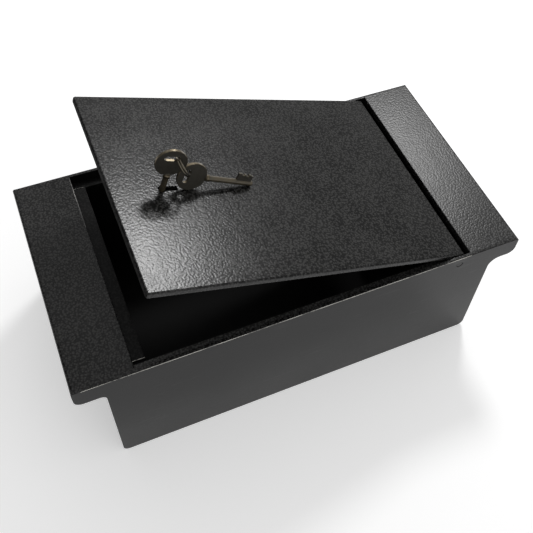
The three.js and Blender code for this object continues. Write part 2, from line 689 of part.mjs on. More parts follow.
// A lever: a hub on the post, an arm over the key, a belly cut to its own depth, and a gate between
// two pockets. The gates are drawn in line with the stump.
function lever(index) {
  const high = LEVER_TOP_Z - index * LEVER_PITCH;
  const low = high - LEVER_THICK;
  const under = low - OVERRUN;
  const over = high + OVERRUN;
  const arm = upright(roundedOutline([
    [POST_X, POST_Y - LEVER_HUB / 2],
    [POST_X, POST_Y + LEVER_TOP],
    [LEVER_LEFT, POST_Y + LEVER_TOP, LEVER_CORNER],
    [LEVER_LEFT, POST_Y - LEVER_BOTTOM, LEVER_CORNER],
    [KEY_X + SWEEP, POST_Y - LEVER_BOTTOM, LEVER_HEEL_CORNER],
  ]), low, high);
  const hub = roundBar(POST_X, POST_Y, LEVER_HUB / 2, low, high);
  const bore = roundBar(POST_X, POST_Y, holeRadius(POST_DIAMETER / 2, LEVER_BORE_PLAY), under, over);
  const bellyRadius = SWEEP + LEVER_CUTS[index] * LEVER_BELLY_STEP;
  const belly = roundBar(KEY_X, KEY_Y, bellyRadius, under, over, LARGE_SIDES);
  const gate = upright(rectangle(
    STUMP_X - BOLT_THROW,
    STUMP_Y - STUMP_WIDTH / 2 - GATE_PLAY,
    STUMP_X,
    STUMP_Y + STUMP_WIDTH / 2 + GATE_PLAY,
  ), under, over);
  const pockets = [STUMP_X, STUMP_X - BOLT_THROW].map((x) => stumpPocket(x, under, over));
  return cut(join(arm, hub), bore, belly, gate, ...pockets);
}

// Barrel: a slit tube with a flange that bears under the case's base. Drawn on its own axis.
function keyBarrel() {
  const low = COVER_TOP_Z + PLAY;
  const high = CASE_TOP_Z - PLAY;
  const tube = roundBar(0, 0, BARREL_DIAMETER / 2, low, high, LARGE_SIDES);
  const flange = roundBar(0, 0, FLANGE_RADIUS, BOLT_TOP_Z - BARREL_FLANGE_THICK, BOLT_TOP_Z, LARGE_SIDES);
  const bore = roundBar(0, 0, KEY_SHAFT / 2 + BARREL_BORE_PLAY, low - OVERRUN, high + OVERRUN);
  const slotWidth = BIT_THICK + 2 * BARREL_SLOT_PLAY;
  const slot = upright(
    rectangle(0, -slotWidth / 2, FLANGE_RADIUS + OVERRUN, slotWidth / 2),
    low - OVERRUN,
    high + OVERRUN,
  );
  return cut(join(tube, flange), bore, slot);
}

// Keys

// A bit with a step for each lever, the last lever nearest the tip, and one for the bolt at the top.
// Drawn in X and Z with the key's tip at zero.
function bitOutline() {
  const low = COVER_TOP_Z + BIT_END_PLAY - TIP_Z;
  const high = BOLT_TOP_Z - BIT_END_PLAY - TIP_Z;
  const steps = LEVER_CUTS.toReversed().flatMap((depth, index) => {
    const foot = COVER_TOP_Z + LEVER_GAP / 2 - TIP_Z + index * LEVER_PITCH;
    return [[BIT_REACH - depth, index === 0 ? low : foot], [BIT_REACH - depth, foot + LEVER_PITCH]];
  });
  const boltStep = [[BIT_REACH - BOLT_CUT, steps.at(-1)[1]], [BIT_REACH - BOLT_CUT, high]];
  const points = [[0, low], ...steps, ...boltStep, [0, high]];
  return new THREE.Shape(points.map(([x, z]) => new THREE.Vector2(x, z)));
}

// A key on its own axes: the tip at the origin, the shaft up Z, the bit and the bow's face along X.
function keyGeometry() {
  const radius = KEY_SHAFT / 2;
  const collarFoot = KEY_SHAFT_LENGTH - KEY_COLLAR_LENGTH;
  const top = KEY_SHAFT_LENGTH + KEY_INTO_BOW;
  const profile = [
    [0, 0],
    [radius - KEY_TIP_CHAMFER, 0],
    [radius, KEY_TIP_CHAMFER],
    [radius, collarFoot],
    [KEY_COLLAR / 2, collarFoot + KEY_COLLAR_CHAMFER],
    [KEY_COLLAR / 2, KEY_SHAFT_LENGTH - KEY_COLLAR_CHAMFER],
    [radius, KEY_SHAFT_LENGTH],
    [radius, top],
    [0, top],
  ].map(([x, z]) => new THREE.Vector2(x, z));
  const shaft = new THREE.LatheGeometry(profile, ROUND_SIDES).rotateX(Math.PI / 2);
  const bow = roundBarAlongY(0, KEY_TIP_FROM_BOW, BOW_RADIUS, -BOW_THICK / 2, BOW_THICK / 2, BOW_SIDES);
  const bit = crosswise(bitOutline(), -BIT_THICK / 2, BIT_THICK / 2);
  const eyeZ = KEY_TIP_FROM_BOW + EYE_FROM_BOW_CENTRE;
  const eye = rectangle(
    -EYE_LENGTH / 2,
    eyeZ - EYE_HEIGHT / 2,
    EYE_LENGTH / 2,
    eyeZ + EYE_HEIGHT / 2,
    EYE_HEIGHT / 2 - ROUND_END_SLACK,
  );
  return cut(join(shaft, bow, bit), crosswise(eye, -BOW_THICK, BOW_THICK));
}

// How far the spare key's axis dips towards its tip when both the tip and the bow touch the lid.
// With t the tangent of the dip, the tip's and the bow's heights are alike where
// L t - rise = sqrt((R t)^2 + side^2), which is a quadratic in t.
function spareDip(roll) {
  const rise = (BOW_THICK / 2) * Math.abs(Math.cos(roll)) - KEY_SHAFT / 2;
  const side = BOW_RADIUS * Math.sin(roll);
  const square = KEY_TIP_FROM_BOW ** 2 - BOW_RADIUS ** 2;
  const linear = KEY_TIP_FROM_BOW * rise;
  return Math.atan((linear + Math.sqrt(linear ** 2 - square * (rise ** 2 - side ** 2))) / square);
}

// Places the spare key's group: its bow's edge and its tip both lie on the lid.
function laySpareKey(group) {
  const roll = THREE.MathUtils.degToRad(SPARE_ROLL_DEG);
  const swing = THREE.MathUtils.degToRad(SPARE_SWING_DEG);
  const dip = spareDip(roll);
  const ahead = new THREE.Vector3(Math.cos(swing), Math.sin(swing), 0);
  const toTip = ahead.multiplyScalar(Math.cos(dip)).setZ(-Math.sin(dip));
  const level = new THREE.Vector3(0, 0, 1).cross(toTip).normalize();
  const over = toTip.clone().cross(level);
  const bitWay = level.multiplyScalar(Math.cos(roll)).addScaledVector(over, Math.sin(roll));
  const upShaft = toTip.clone().negate();
  const faceWay = upShaft.clone().cross(bitWay);
  const bowHeight = PLAY + KEY_TIP_FROM_BOW * Math.sin(dip) + (KEY_SHAFT / 2) * Math.cos(dip);
  const bow = new THREE.Vector3(LID_LEFT + SPARE_FROM_LID_EDGE, SPARE_FROM_CENTRE, HEIGHT + bowHeight);
  const basis = new THREE.Matrix4().makeBasis(bitWay, faceWay, upShaft);
  group.quaternion.setFromRotationMatrix(basis);
  group.position.copy(bow).addScaledVector(toTip, KEY_TIP_FROM_BOW);
  group.updateMatrix();
}

// Split ring

// Turns of wire at a steady pitch, round the Z axis of the ring's own frame. The ends lie at the
// ring's side, a quarter turn from the two eyes that it crosses, and the ring leans a quarter of the
// pitch so that its turns sit centred in both eyes.
class SplitRing extends THREE.Curve {
  getPoint(share, target = new THREE.Vector3()) {
    const angle = share * RING_TURNS * 2 * Math.PI;
    const climb = RING_TURNS * (share - 0.5) + Math.sin(angle) / 4;
    const radius = RING_DIAMETER / 2;
    return target.set(radius * Math.cos(angle), radius * Math.sin(angle), RING_PITCH * climb);
  }
}

// The least clear gap between one turn of the ring and the next.
function ringGap(curve) {
  const points = curve.getPoints(2 * RING_STEPS_PER_TURN * RING_TURNS);
  let least = Infinity;
  for (let first = 0; first < points.length; first += 1) {
    for (let second = first + RING_STEPS_PER_TURN; second < points.length; second += 1) {
      least = Math.min(least, points[first].distanceTo(points[second]));
    }
  }
  return least - RING_WIRE;
}

function splitRing() {
  const curve = new SplitRing();
  console.log(`split ring: least gap between its turns ${ringGap(curve).toFixed(2)} mm`);
  const section = new THREE.Shape(Array.from({ length: WIRE_SIDES }, (_, index) => {
    const angle = (2 * Math.PI * index) / WIRE_SIDES;
    return new THREE.Vector2((RING_WIRE / 2) * Math.cos(angle), (RING_WIRE / 2) * Math.sin(angle));
  }));
  return new THREE.ExtrudeGeometry(section, {
    steps: RING_STEPS_PER_TURN * RING_TURNS,
    bevelEnabled: false,
    extrudePath: curve,
  });
}

// The point in a key's eye where the ring crosses it, on the key's own axes.
function eyePoint(offset) {
  return new THREE.Vector3(offset, 0, KEY_TIP_FROM_BOW + EYE_FROM_BOW_CENTRE);
}

// Places the ring's group so that it crosses the first key's eye and then the spare key's.
function hangRing(group, firstKey, spareKey) {
  const end = EYE_LENGTH / 2 - EYE_HEIGHT / 2;
  const first = eyePoint(end).applyMatrix4(firstKey.matrix);
  const middle = eyePoint(0).applyMatrix4(spareKey.matrix);
  const along = new THREE.Vector3().setFromMatrixColumn(spareKey.matrix, 0);
  const away = middle.clone().sub(first);
  const half = away.dot(along);
  const reach = -half + Math.sqrt(Math.max(0, half * half - away.lengthSq() + RING_DIAMETER * RING_DIAMETER));
  const second = middle.clone().addScaledVector(along, THREE.MathUtils.clamp(reach, -end, end));
  const down = second.clone().sub(first).normalize();
  const face = new THREE.Vector3().setFromMatrixColumn(firstKey.matrix, 1);
  const across = face.addScaledVector(down, -face.dot(down)).normalize();
  const basis = new THREE.Matrix4().makeBasis(across, down, across.clone().cross(down));
  group.quaternion.setFromRotationMatrix(basis);
  group.position.copy(first).addScaledVector(down, RING_DIAMETER / 2);
}

// Assembly

function lock(parent) {
  piece(parent, 'hard_plate', hardPlate(), hardSteel());
  piece(parent, 'lock_case', lockCase(), brightSteel());
  piece(parent, 'lock_cover', lockCover(), brightSteel());
  screwPlaces().forEach((place, index) => {
    piece(parent, `cover_screw_${index + 1}`, coverScrew(place), brightSteel());
  });
  piece(parent, 'lever_post', post(POST_X, POST_Y), brightSteel());
  piece(parent, 'bolt_guide_post', post(GUIDE_X, GUIDE_Y), brightSteel());
  piece(parent, 'lever_spring', leverSpring(), springSteel());
  piece(parent, 'lock_bolt', lockBolt(), brightSteel());
  antiSawPlaces().forEach((y, index) => {
    piece(parent, `bolt_hard_pin_${index + 1}`, antiSawPin(y), hardSteel());
  });
  piece(parent, 'bolt_stump', boltStump(), hardSteel());
  for (let index = 0; index < LEVER_COUNT; index += 1) {
    piece(parent, `lever_${index + 1}`, lever(index), brassMetal());
  }
}

function keySet(parent) {
  const firstKey = new THREE.Group();
  firstKey.position.set(KEY_X, KEY_Y, TIP_Z);
  firstKey.rotation.z = THREE.MathUtils.degToRad(KEY_TWIST_DEG);
  firstKey.updateMatrix();
  piece(firstKey, 'lock_key', keyGeometry(), keyMetal());
  piece(firstKey, 'key_barrel', keyBarrel(), brassMetal()).position.z = -TIP_Z;
  const spareKey = new THREE.Group();
  laySpareKey(spareKey);
  piece(spareKey, 'spare_key', keyGeometry(), keyMetal());
  const ring = new THREE.Group();
  hangRing(ring, firstKey, spareKey);
  piece(ring, 'split_ring', splitRing(), springSteel());
  parent.add(firstKey, spareKey, ring);
}

function lid() {
  const hinge = new THREE.Group();
  hinge.position.set(PIVOT_X, 0, PIVOT_Z);
  hinge.rotation.y = THREE.MathUtils.degToRad(LID_OPEN_DEG);
  const shut = new THREE.Group();
  shut.position.set(-PIVOT_X, 0, -PIVOT_Z);
  hinge.add(shut);
  piece(shut, 'lid_plate', lidPlate(), hammeredPaint());
  piece(shut, 'hinge_rod', hingeRod(), satinPaint());
  lock(shut);
  keySet(shut);
  return hinge;
}

const floorSafe = new THREE.Group();
floorSafe.add(box(), lid());

export default floorSafe;
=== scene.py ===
"""Floor safe that hangs between two joists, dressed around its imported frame.

The box, lid, keys and ring are modelled here with rounded edges and worn coatings. The lock under the
lid is made of soft edged copies of its packed plates, levers and bolt, in their metals. Sizes are in
millimetres and finished meshes in metres: X runs from left to right, Y from front to back, and Z up.
"""

import json
import logging
import math
from collections.abc import Callable, Iterator, Sequence
from contextlib import contextmanager
from dataclasses import dataclass, field
from enum import Enum

import bmesh
import bpy
from mathutils import Matrix, Vector


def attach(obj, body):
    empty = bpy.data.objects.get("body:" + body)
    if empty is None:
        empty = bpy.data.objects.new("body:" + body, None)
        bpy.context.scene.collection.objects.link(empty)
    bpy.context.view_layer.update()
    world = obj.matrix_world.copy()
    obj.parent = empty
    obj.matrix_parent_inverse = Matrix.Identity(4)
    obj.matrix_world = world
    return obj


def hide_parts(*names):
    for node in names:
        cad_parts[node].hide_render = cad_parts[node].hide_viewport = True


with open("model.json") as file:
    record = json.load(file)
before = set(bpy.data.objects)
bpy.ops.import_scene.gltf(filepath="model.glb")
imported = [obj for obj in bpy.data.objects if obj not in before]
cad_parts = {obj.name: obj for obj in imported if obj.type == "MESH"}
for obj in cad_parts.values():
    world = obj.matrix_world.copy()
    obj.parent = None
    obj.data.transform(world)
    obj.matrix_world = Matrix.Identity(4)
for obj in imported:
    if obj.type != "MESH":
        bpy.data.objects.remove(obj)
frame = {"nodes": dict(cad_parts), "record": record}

log = logging.getLogger("floor_safe")

MM = 0.001
NEAR = 0.05
DOUBLES = 0.001 * MM
FLAT_ANGLE = math.radians(1)
SMOOTH_ANGLE = math.radians(32)
SOFT_STEPS = 2

# How far a face looks along an axis, as a cosine: straight, by half, and only just.
STRAIGHT = 0.99
HALFWAY = 0.5
TURNED = 0.05

Material = bpy.types.Material
Socket = bpy.types.NodeSocket
Point = tuple[float, float, float]
Colour = tuple[float, float, float]
Span = tuple[float, float]

# A test on the two ends of an edge, or on where a face is and which way it looks.
Test = Callable[[Vector, Vector], bool]


class Slot(Enum):
    """The record's finishes."""

    SATIN = "satin_black"
    HAMMERED = "hammered_black"
    STEEL = "lock_steel"
    HARDENED = "hardened_steel"
    BRASS = "lever_brass"
    KEY = "key_metal"
    SPRING = "spring_steel"


class Axis(Enum):
    """The way a round bar points, as the turn that lays it there."""

    Y = (math.pi / 2, 0.0, 0.0)
    Z = (0.0, 0.0, 0.0)


def close(first: float, second: float) -> bool:
    """Whether two sizes in millimetres are the same place."""
    return abs(first - second) < NEAR


def ends_at(**places: float) -> Test:
    """Gives the test for edges with both ends at these places, such as x=10."""
    return lambda *ends: all(close(getattr(end, axis), at) for end in ends for axis, at in places.items())


def alike(*axes: str) -> Test:
    """Gives the test for edges whose two ends have the same place along these axes."""
    return lambda a, b: all(close(getattr(a, axis), getattr(b, axis)) for axis in axes)


def across(half: float) -> Test:
    """Gives the test for edges that lie this far in front of the middle, or as far behind it."""
    return lambda a, b: close(abs(a.y), half) and close(a.y, b.y)


def both(first: Test, second: Test) -> Test:
    """Gives the test for what passes two others."""
    return lambda a, b: first(a, b) and second(a, b)


def metres(sizes: Sequence[float]) -> list[float]:
    """Turns sizes in millimetres into metres."""
    return [size * MM for size in sizes]


def direction(azimuth: float, elevation: float) -> Vector:
    """The way to a place round the safe, in degrees from its front towards its right, and up."""
    turn, rise = math.radians(azimuth), math.radians(elevation)
    return Vector((math.sin(turn) * math.cos(rise), -math.cos(turn) * math.cos(rise), math.sin(rise)))


class Piece:
    """A piece on the workbench: primitives, edit mode tools and applied modifiers, in millimetres."""

    def __init__(self, item: bpy.types.Object) -> None:
        """Takes one of Blender's objects to work on."""
        self.item = item

    @staticmethod
    def add(
        name: str, primitive: Callable[..., object], stretch: Sequence[float] = (1, 1, 1),
        **settings: object,
    ) -> "Piece":
        """Adds a primitive and settles its place into its mesh.

        Args:
            name: The piece's name.
            primitive: The operator that adds it.
            stretch: How many times longer it gets along X, Y and Z.
            settings: The operator's settings, in metres.

        Returns:
            The piece.
        """
        bpy.ops.object.select_all(action="DESELECT")
        primitive(**settings)
        item = bpy.context.active_object
        item.name = name
        item.data.name = name
        item.scale = stretch
        bpy.ops.object.transform_apply(location=True, rotation=True, scale=True)
        return Piece(item)

    @staticmethod
    def block(name: str, low: Point, high: Point) -> "Piece":
        """Adds a block between two corners.

        Args:
            name: The piece's name.
            low: Its lowest corner.
            high: Its highest corner.

        Returns:
            The block.
        """
        middle = [(a + b) / 2 * MM for a, b in zip(low, high)]
        sides = [(b - a) * MM for a, b in zip(low, high)]
        return Piece.add(name, bpy.ops.mesh.primitive_cube_add, sides, size=1, location=middle)

    @staticmethod
    def bar(
        name: str, middle: Point, radius: float, length: float, axis: Axis, sides: int = 48
    ) -> "Piece":
        """Adds a round bar.

        Args:
            name: The piece's name.
            middle: Its centre.
            radius: Its radius.
            length: Its length along the axis.
            axis: The way it points.
            sides: How many flats stand for its round.

        Returns:
            The bar.
        """
        return Piece.add(
            name, bpy.ops.mesh.primitive_cylinder_add, vertices=sides, radius=radius * MM,
            depth=length * MM, location=metres(middle), rotation=axis.value,
        )

    def select(self) -> None:
        """Makes this the only piece selected, and the active one."""
        bpy.ops.object.select_all(action="DESELECT")
        self.item.select_set(True)
        bpy.context.view_layer.objects.active = self.item

    @contextmanager
    def editing(self, mode: str, test: Test | None = None) -> Iterator[bmesh.types.BMesh]:
        """Opens the piece in edit mode with what passes a test selected, and closes it again.

        Args:
            mode: EDGE or FACE, the parts that are selected.
            test: Says which of them, or None for all.

        Returns:
            A context that gives the edit mesh.
        """
        self.select()
        bpy.ops.object.mode_set(mode="EDIT")
        bpy.ops.mesh.select_mode(type=mode)
        bpy.ops.mesh.select_all(action="DESELECT" if test else "SELECT")
        mesh = bmesh.from_edit_mesh(self.item.data)
        if test:
            for part in mesh.edges if mode == "EDGE" else mesh.faces:
                part.select_set(test(*self._measures(part)))
            mesh.select_flush_mode()
            bmesh.update_edit_mesh(self.item.data)
        yield mesh
        bpy.ops.object.mode_set(mode="OBJECT")

    @staticmethod
    def _measures(part: bmesh.types.BMEdge | bmesh.types.BMFace) -> tuple[Vector, Vector]:
        """What a test looks at: an edge's two ends, or a face's centre and normal.

        Args:
            part: The edge or face.

        Returns:
            The two vectors, with places in millimetres.
        """
        if isinstance(part, bmesh.types.BMEdge):
            return part.verts[0].co / MM, part.verts[1].co / MM
        return part.calc_center_median() / MM, part.normal

    def _place_of(self, material: Material | None) -> int:
        """A material's place in the piece's list, or -1 without a material."""
        return self.item.data.materials.find(material.name) if material else -1

    def round_edges(
        self, test: Test, radius: float, steps: int, material: Material | None = None
    ) -> None:
        """Rounds the edges that pass a test.

        Args:
            test: Says which edges.
            radius: The size of the round.
            steps: How many flats make it.
            material: The new faces' material, or None for their neighbours'.
        """
        place = self._place_of(material)
        with self.editing("EDGE", test):
            bpy.ops.mesh.bevel(offset=radius * MM, segments=steps, affect="EDGES", material=place)

    def slice(self, place: Point, normal: Point) -> None:
        """Draws a flat cut line right round the piece, without parting it."""
        with self.editing("FACE"):
            bpy.ops.mesh.bisect(plane_co=metres(place), plane_no=normal)

    def pull(self, mode: str, test: Test, move: Point) -> None:
        """Extrudes the edges or faces that pass a test by a move."""
        with self.editing(mode, test):
            bpy.ops.mesh.extrude_region_move(TRANSFORM_OT_translate={"value": metres(move)})

    def settle(self) -> None:
        """Merges doubles and turns every face outwards."""
        with self.editing("FACE"):
            bpy.ops.mesh.remove_doubles(threshold=DOUBLES)
            bpy.ops.mesh.normals_make_consistent(inside=False)

    def wear(self, *materials: Material) -> None:
        """Gives the piece these materials in place of those it has.

        Args:
            materials: The first is what its faces wear until they are coated.
        """
        self.item.data.materials.clear()
        for material in materials:
            self.item.data.materials.append(material)

    def coat(self, material: Material, test: Test | None = None) -> None:
        """Gives faces another of the piece's materials.

        Args:
            material: The material.
            test: Says which faces, or None for all.
        """
        with self.editing("FACE", test):
            self.item.active_material_index = self._place_of(material)
            bpy.ops.object.material_slot_assign()

    def modify(self, kind: str, **settings: object) -> None:
        """Adds a modifier and applies it.

        Args:
            kind: The modifier's type.
            settings: The modifier's settings.
        """
        modifier = self.item.modifiers.new(kind.lower(), kind)
        for name, value in settings.items():
            setattr(modifier, name, value)
        self.select()
        bpy.ops.object.modifier_apply(modifier=modifier.name)

    def combine(self, other: "Piece", way: str = "DIFFERENCE") -> None:
        """Cuts another piece out of this one, or adds it with UNION, and removes the other."""
        self.modify("BOOLEAN", operation=way, solver="EXACT", object=other.item)
        bpy.data.objects.remove(other.item)

    def soften(
        self, width: float, flush: Test | None = None, material: Material | None = None
    ) -> None:
        """Rounds the sharp edges a little and smooths the piece.

        Args:
            width: The size of the round.
            flush: Says which edges stay sharp, because they lie flush with a neighbour.
            material: The new faces' material, or None for their neighbours'.
        """
        with self.editing("EDGE") as mesh:
            weight = mesh.edges.layers.float.new("bevel_weight_edge")
            for edge in mesh.edges:
                sharp = edge.is_manifold and edge.calc_face_angle() > SMOOTH_ANGLE
                edge[weight] = float(sharp and not (flush and flush(*self._measures(edge))))
            bmesh.update_edit_mesh(self.item.data)
        self.modify(
            "BEVEL", width=width * MM, segments=SOFT_STEPS, limit_method="WEIGHT",
            use_clamp_overlap=True, miter_outer="MITER_ARC", material=self._place_of(material),
        )
        self.smooth()

    def smooth(self) -> None:
        """Shades the piece smooth up to the smoothing angle, with its flats kept flat."""
        self.select()
        bpy.ops.object.shade_smooth_by_angle(angle=SMOOTH_ANGLE)
        self.modify("WEIGHTED_NORMAL", keep_sharp=True)

    def move(self, place: Matrix) -> None:
        """Moves the piece and settles its place into its mesh.

        Args:
            place: The move, in metres.
        """
        self.select()
        self.item.matrix_world = place @ self.item.matrix_world
        bpy.ops.object.transform_apply(location=True, rotation=True, scale=True)

    def copy(self, name: str) -> "Piece":
        """Copies the piece with a mesh of its own.

        Args:
            name: The copy's name.

        Returns:
            The copy, which rides on nothing yet.
        """
        twin = bpy.data.objects.new(name, self.item.data.copy())
        twin.data.name = name
        bpy.context.scene.collection.objects.link(twin)
        return Piece(twin)

    def hand_over(self, body: str, slot: Slot, *nodes: str) -> None:
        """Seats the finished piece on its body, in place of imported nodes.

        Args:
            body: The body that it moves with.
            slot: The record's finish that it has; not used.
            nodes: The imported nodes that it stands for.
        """
        piece = self.item
        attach(piece, body)
        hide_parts(*nodes)
        faces = len(piece.data.polygons)
        log.info("%s on %s for %s: %d faces", piece.name, body, ", ".join(nodes), faces)


class Value:
    """A number that a shader works out at each point, for use in Python expressions."""

    def __init__(self, recipe: "Recipe", socket: Socket) -> None:
        """Wraps one output socket of a recipe's node."""
        self.recipe = recipe
        self.socket = socket

    def _math(self, operation: str, *numbers: "Value | float") -> "Value":
        """Adds a Math node for one operation on two numbers."""
        return self.recipe.value("ShaderNodeMath", {"operation": operation}, dict(enumerate(numbers)))

    def __add__(self, other: "Value | float") -> "Value":
        """The sum."""
        return self._math("ADD", self, other)

    def __sub__(self, other: "Value | float") -> "Value":
        """The difference."""
        return self._math("SUBTRACT", self, other)

    def __rsub__(self, other: float) -> "Value":
        """The difference, with a plain number first."""
        return self._math("SUBTRACT", other, self)

    def __mul__(self, other: "Value | float") -> "Value":
        """The product."""
        return self._math("MULTIPLY", self, other)

    __radd__ = __add__
    __rmul__ = __mul__

    def ramp(self, low: float, high: float) -> "Value":
        """A smooth rise from 0 where the number is the low one to 1 where it is the high one."""
        inputs = {"Value": self, "From Min": low, "From Max": high}
        return self.recipe.value("ShaderNodeMapRange", {"interpolation_type": "SMOOTHSTEP"}, inputs)


Feed = Value | Socket | float | Sequence[float]


class Recipe:
    """A material or sky that is put together node by node, with its patterns in millimetres."""

    def __init__(self, name: str, sky: bool = False) -> None:
        """Starts an empty recipe.

        Args:
            name: The material's or sky's name.
            sky: Whether it is a sky, read by direction, and not a material on its own coordinates.
        """
        self.holder = bpy.data.worlds.new(name) if sky else bpy.data.materials.new(name)
        self.holder.use_nodes = True
        self.tree = self.holder.node_tree
        self.tree.nodes.clear()
        self.place = self.add("ShaderNodeTexCoord").outputs["Generated" if sky else "Object"]

    def add(self, kind: str, settings: dict | None = None, inputs: dict | None = None) -> bpy.types.Node:
        """Adds a node.

        Args:
            kind: The node's type.
            settings: Its settings, set before its sockets.
            inputs: The values or links of its sockets, by name or number.

        Returns:
            The node.
        """
        node = self.tree.nodes.new(kind)
        for name, value in (settings or {}).items():
            setattr(node, name, value)
        for key, value in (inputs or {}).items():
            self._feed(node.inputs[key], value)
        return node

    def _feed(self, socket: Socket, value: Feed) -> None:
        """Links a value to a socket, or sets it there.

        Args:
            socket: The input socket.
            value: A number or colour, or what is linked.
        """
        source = value.socket if isinstance(value, Value) else value
        if isinstance(source, Socket):
            self.tree.links.new(source, socket)
        else:
            socket.default_value = source

    def value(self, kind: str, settings: dict, inputs: dict, output: int | str = 0) -> Value:
        """Adds a node and gives one of its outputs as a number."""
        return Value(self, self.add(kind, settings, inputs).outputs[output])

    def along(self, axis: str) -> Value:
        """The place along X, Y or Z: in metres in a material, and from -1 to 1 in a sky."""
        return self.value("ShaderNodeSeparateXYZ", {}, {0: self.place}, axis)

    def noise(self, size: float, detail: float, stretch: Point = (1, 1, 1)) -> Value:
        """Soft noise.

        Args:
            size: The size of its patches.
            detail: How many finer layers it has.
            stretch: How much longer a patch is along X, Y and Z.

        Returns:
            The noise, from 0 to 1.
        """
        scale = [1 / (size * MM * factor) for factor in stretch]
        place = self.add("ShaderNodeMapping", {}, {"Vector": self.place, "Scale": scale}).outputs[0]
        return self.value("ShaderNodeTexNoise", {}, {"Vector": place, "Scale": 1.0, "Detail": detail})

    def cells(self, size: float, smoothness: float) -> Value:
        """Rounded cells of a size, low in their middles and high between them."""
        inputs = {"Vector": self.place, "Scale": 1 / (size * MM), "Smoothness": smoothness}
        return self.value("ShaderNodeTexVoronoi", {"feature": "SMOOTH_F1"}, inputs)

    def mix(self, share: Feed, first: Feed, second: Feed) -> Socket:
        """Mixes two colours, with this share of the second."""
        sockets = {0: share, 6: self._colour(first), 7: self._colour(second)}
        return self.add("ShaderNodeMix", {"data_type": "RGBA"}, sockets).outputs[2]

    @staticmethod
    def _colour(value: Feed) -> Feed:
        """Gives a plain colour its alpha."""
        return (*value, 1.0) if isinstance(value, tuple) else value

    def bump(self, height: Value, depth: float, under: Socket | None = None) -> Socket:
        """Relief.

        Args:
            height: The height, from 0 to 1.
            depth: The relief's depth in millimetres.
            under: The normal that it lies on.

        Returns:
            The normal's socket.
        """
        inputs: dict = {"Height": height, "Strength": 1.0, "Distance": depth * MM}
        if under is not None:
            inputs["Normal"] = under
        return self.add("ShaderNodeBump", {}, inputs).outputs[0]

    def surface(self, **inputs: Feed) -> Material:
        """Ends the material in one surface.

        Args:
            inputs: The shader's sockets, with underscores for spaces.

        Returns:
            The material.
        """
        named = {name.replace("_", " "): self._colour(value) for name, value in inputs.items()}
        shader = self.add("ShaderNodeBsdfPrincipled", {}, named)
        self.add("ShaderNodeOutputMaterial", {}, {"Surface": shader.outputs[0]})
        return self.holder


@dataclass(frozen=True)
class HammeredCoat:
    """Black powder coat that dries in small round hammer marks, with painted shade in the hollows between
    the marks.
    """

    dark: Colour = (0.002, 0.002, 0.002)
    light: Colour = (0.05, 0.0495, 0.048)
    light_least: float = 0.02
    # Painted shade and light: the colour darkens in the relief's hollows and lightens on its tops, over
    # this span and by this share.
    relief_shade_span: Span = (0.2, 0.8)
    relief_shade_share: float = 0.85
    patch: float = 38.0
    patch_span: Span = (0.35, 0.7)
    mark: float = 1.75
    mark_softness: float = 0.6
    mark_span: Span = (0.15, 0.8)
    mark_height: float = 0.6
    pebble_per_mark: float = 0.62
    pebble_height: float = 0.25
    depth: float = 0.09
    grain: float = 0.5
    grain_depth: float = 0.006
    streak: float = 9.0
    streak_way: Point = (1, 9, 1)
    streak_spread: float = 0.05
    gloss: float = 0.21
    gloss_spread: float = 0.06
    specular: float = 0.26

    def material(self, name: str = "hammered_coat") -> Material:
        """Builds the coating.

        Args:
            name: The material's name.

        Returns:
            The material.
        """
        recipe = Recipe(name)
        marks = 1 - recipe.cells(self.mark, self.mark_softness).ramp(*self.mark_span)
        pebbles = recipe.noise(self.mark * self.pebble_per_mark, detail=1)
        relief = marks * self.mark_height + pebbles * self.pebble_height
        patches = recipe.noise(self.patch, detail=3)
        streaks = recipe.noise(self.streak, detail=2, stretch=self.streak_way) * self.streak_spread
        gloss = patches * self.gloss_spread + streaks + (self.gloss - self.gloss_spread / 2)
        # Painted shade: the colour follows the relief, darker in its hollows and lighter on its tops.
        relief_shade = relief.ramp(*self.relief_shade_span) * self.relief_shade_share
        tone = relief_shade + patches.ramp(*self.patch_span) * (1 - self.relief_shade_share) + self.light_least
        grain = recipe.noise(self.grain, detail=1)
        return recipe.surface(
            Base_Color=recipe.mix(tone, self.dark, self.light),
            Roughness=gloss,
            Normal=recipe.bump(grain, self.grain_depth, recipe.bump(relief, self.depth)),
            Specular_IOR_Level=self.specular,
        )


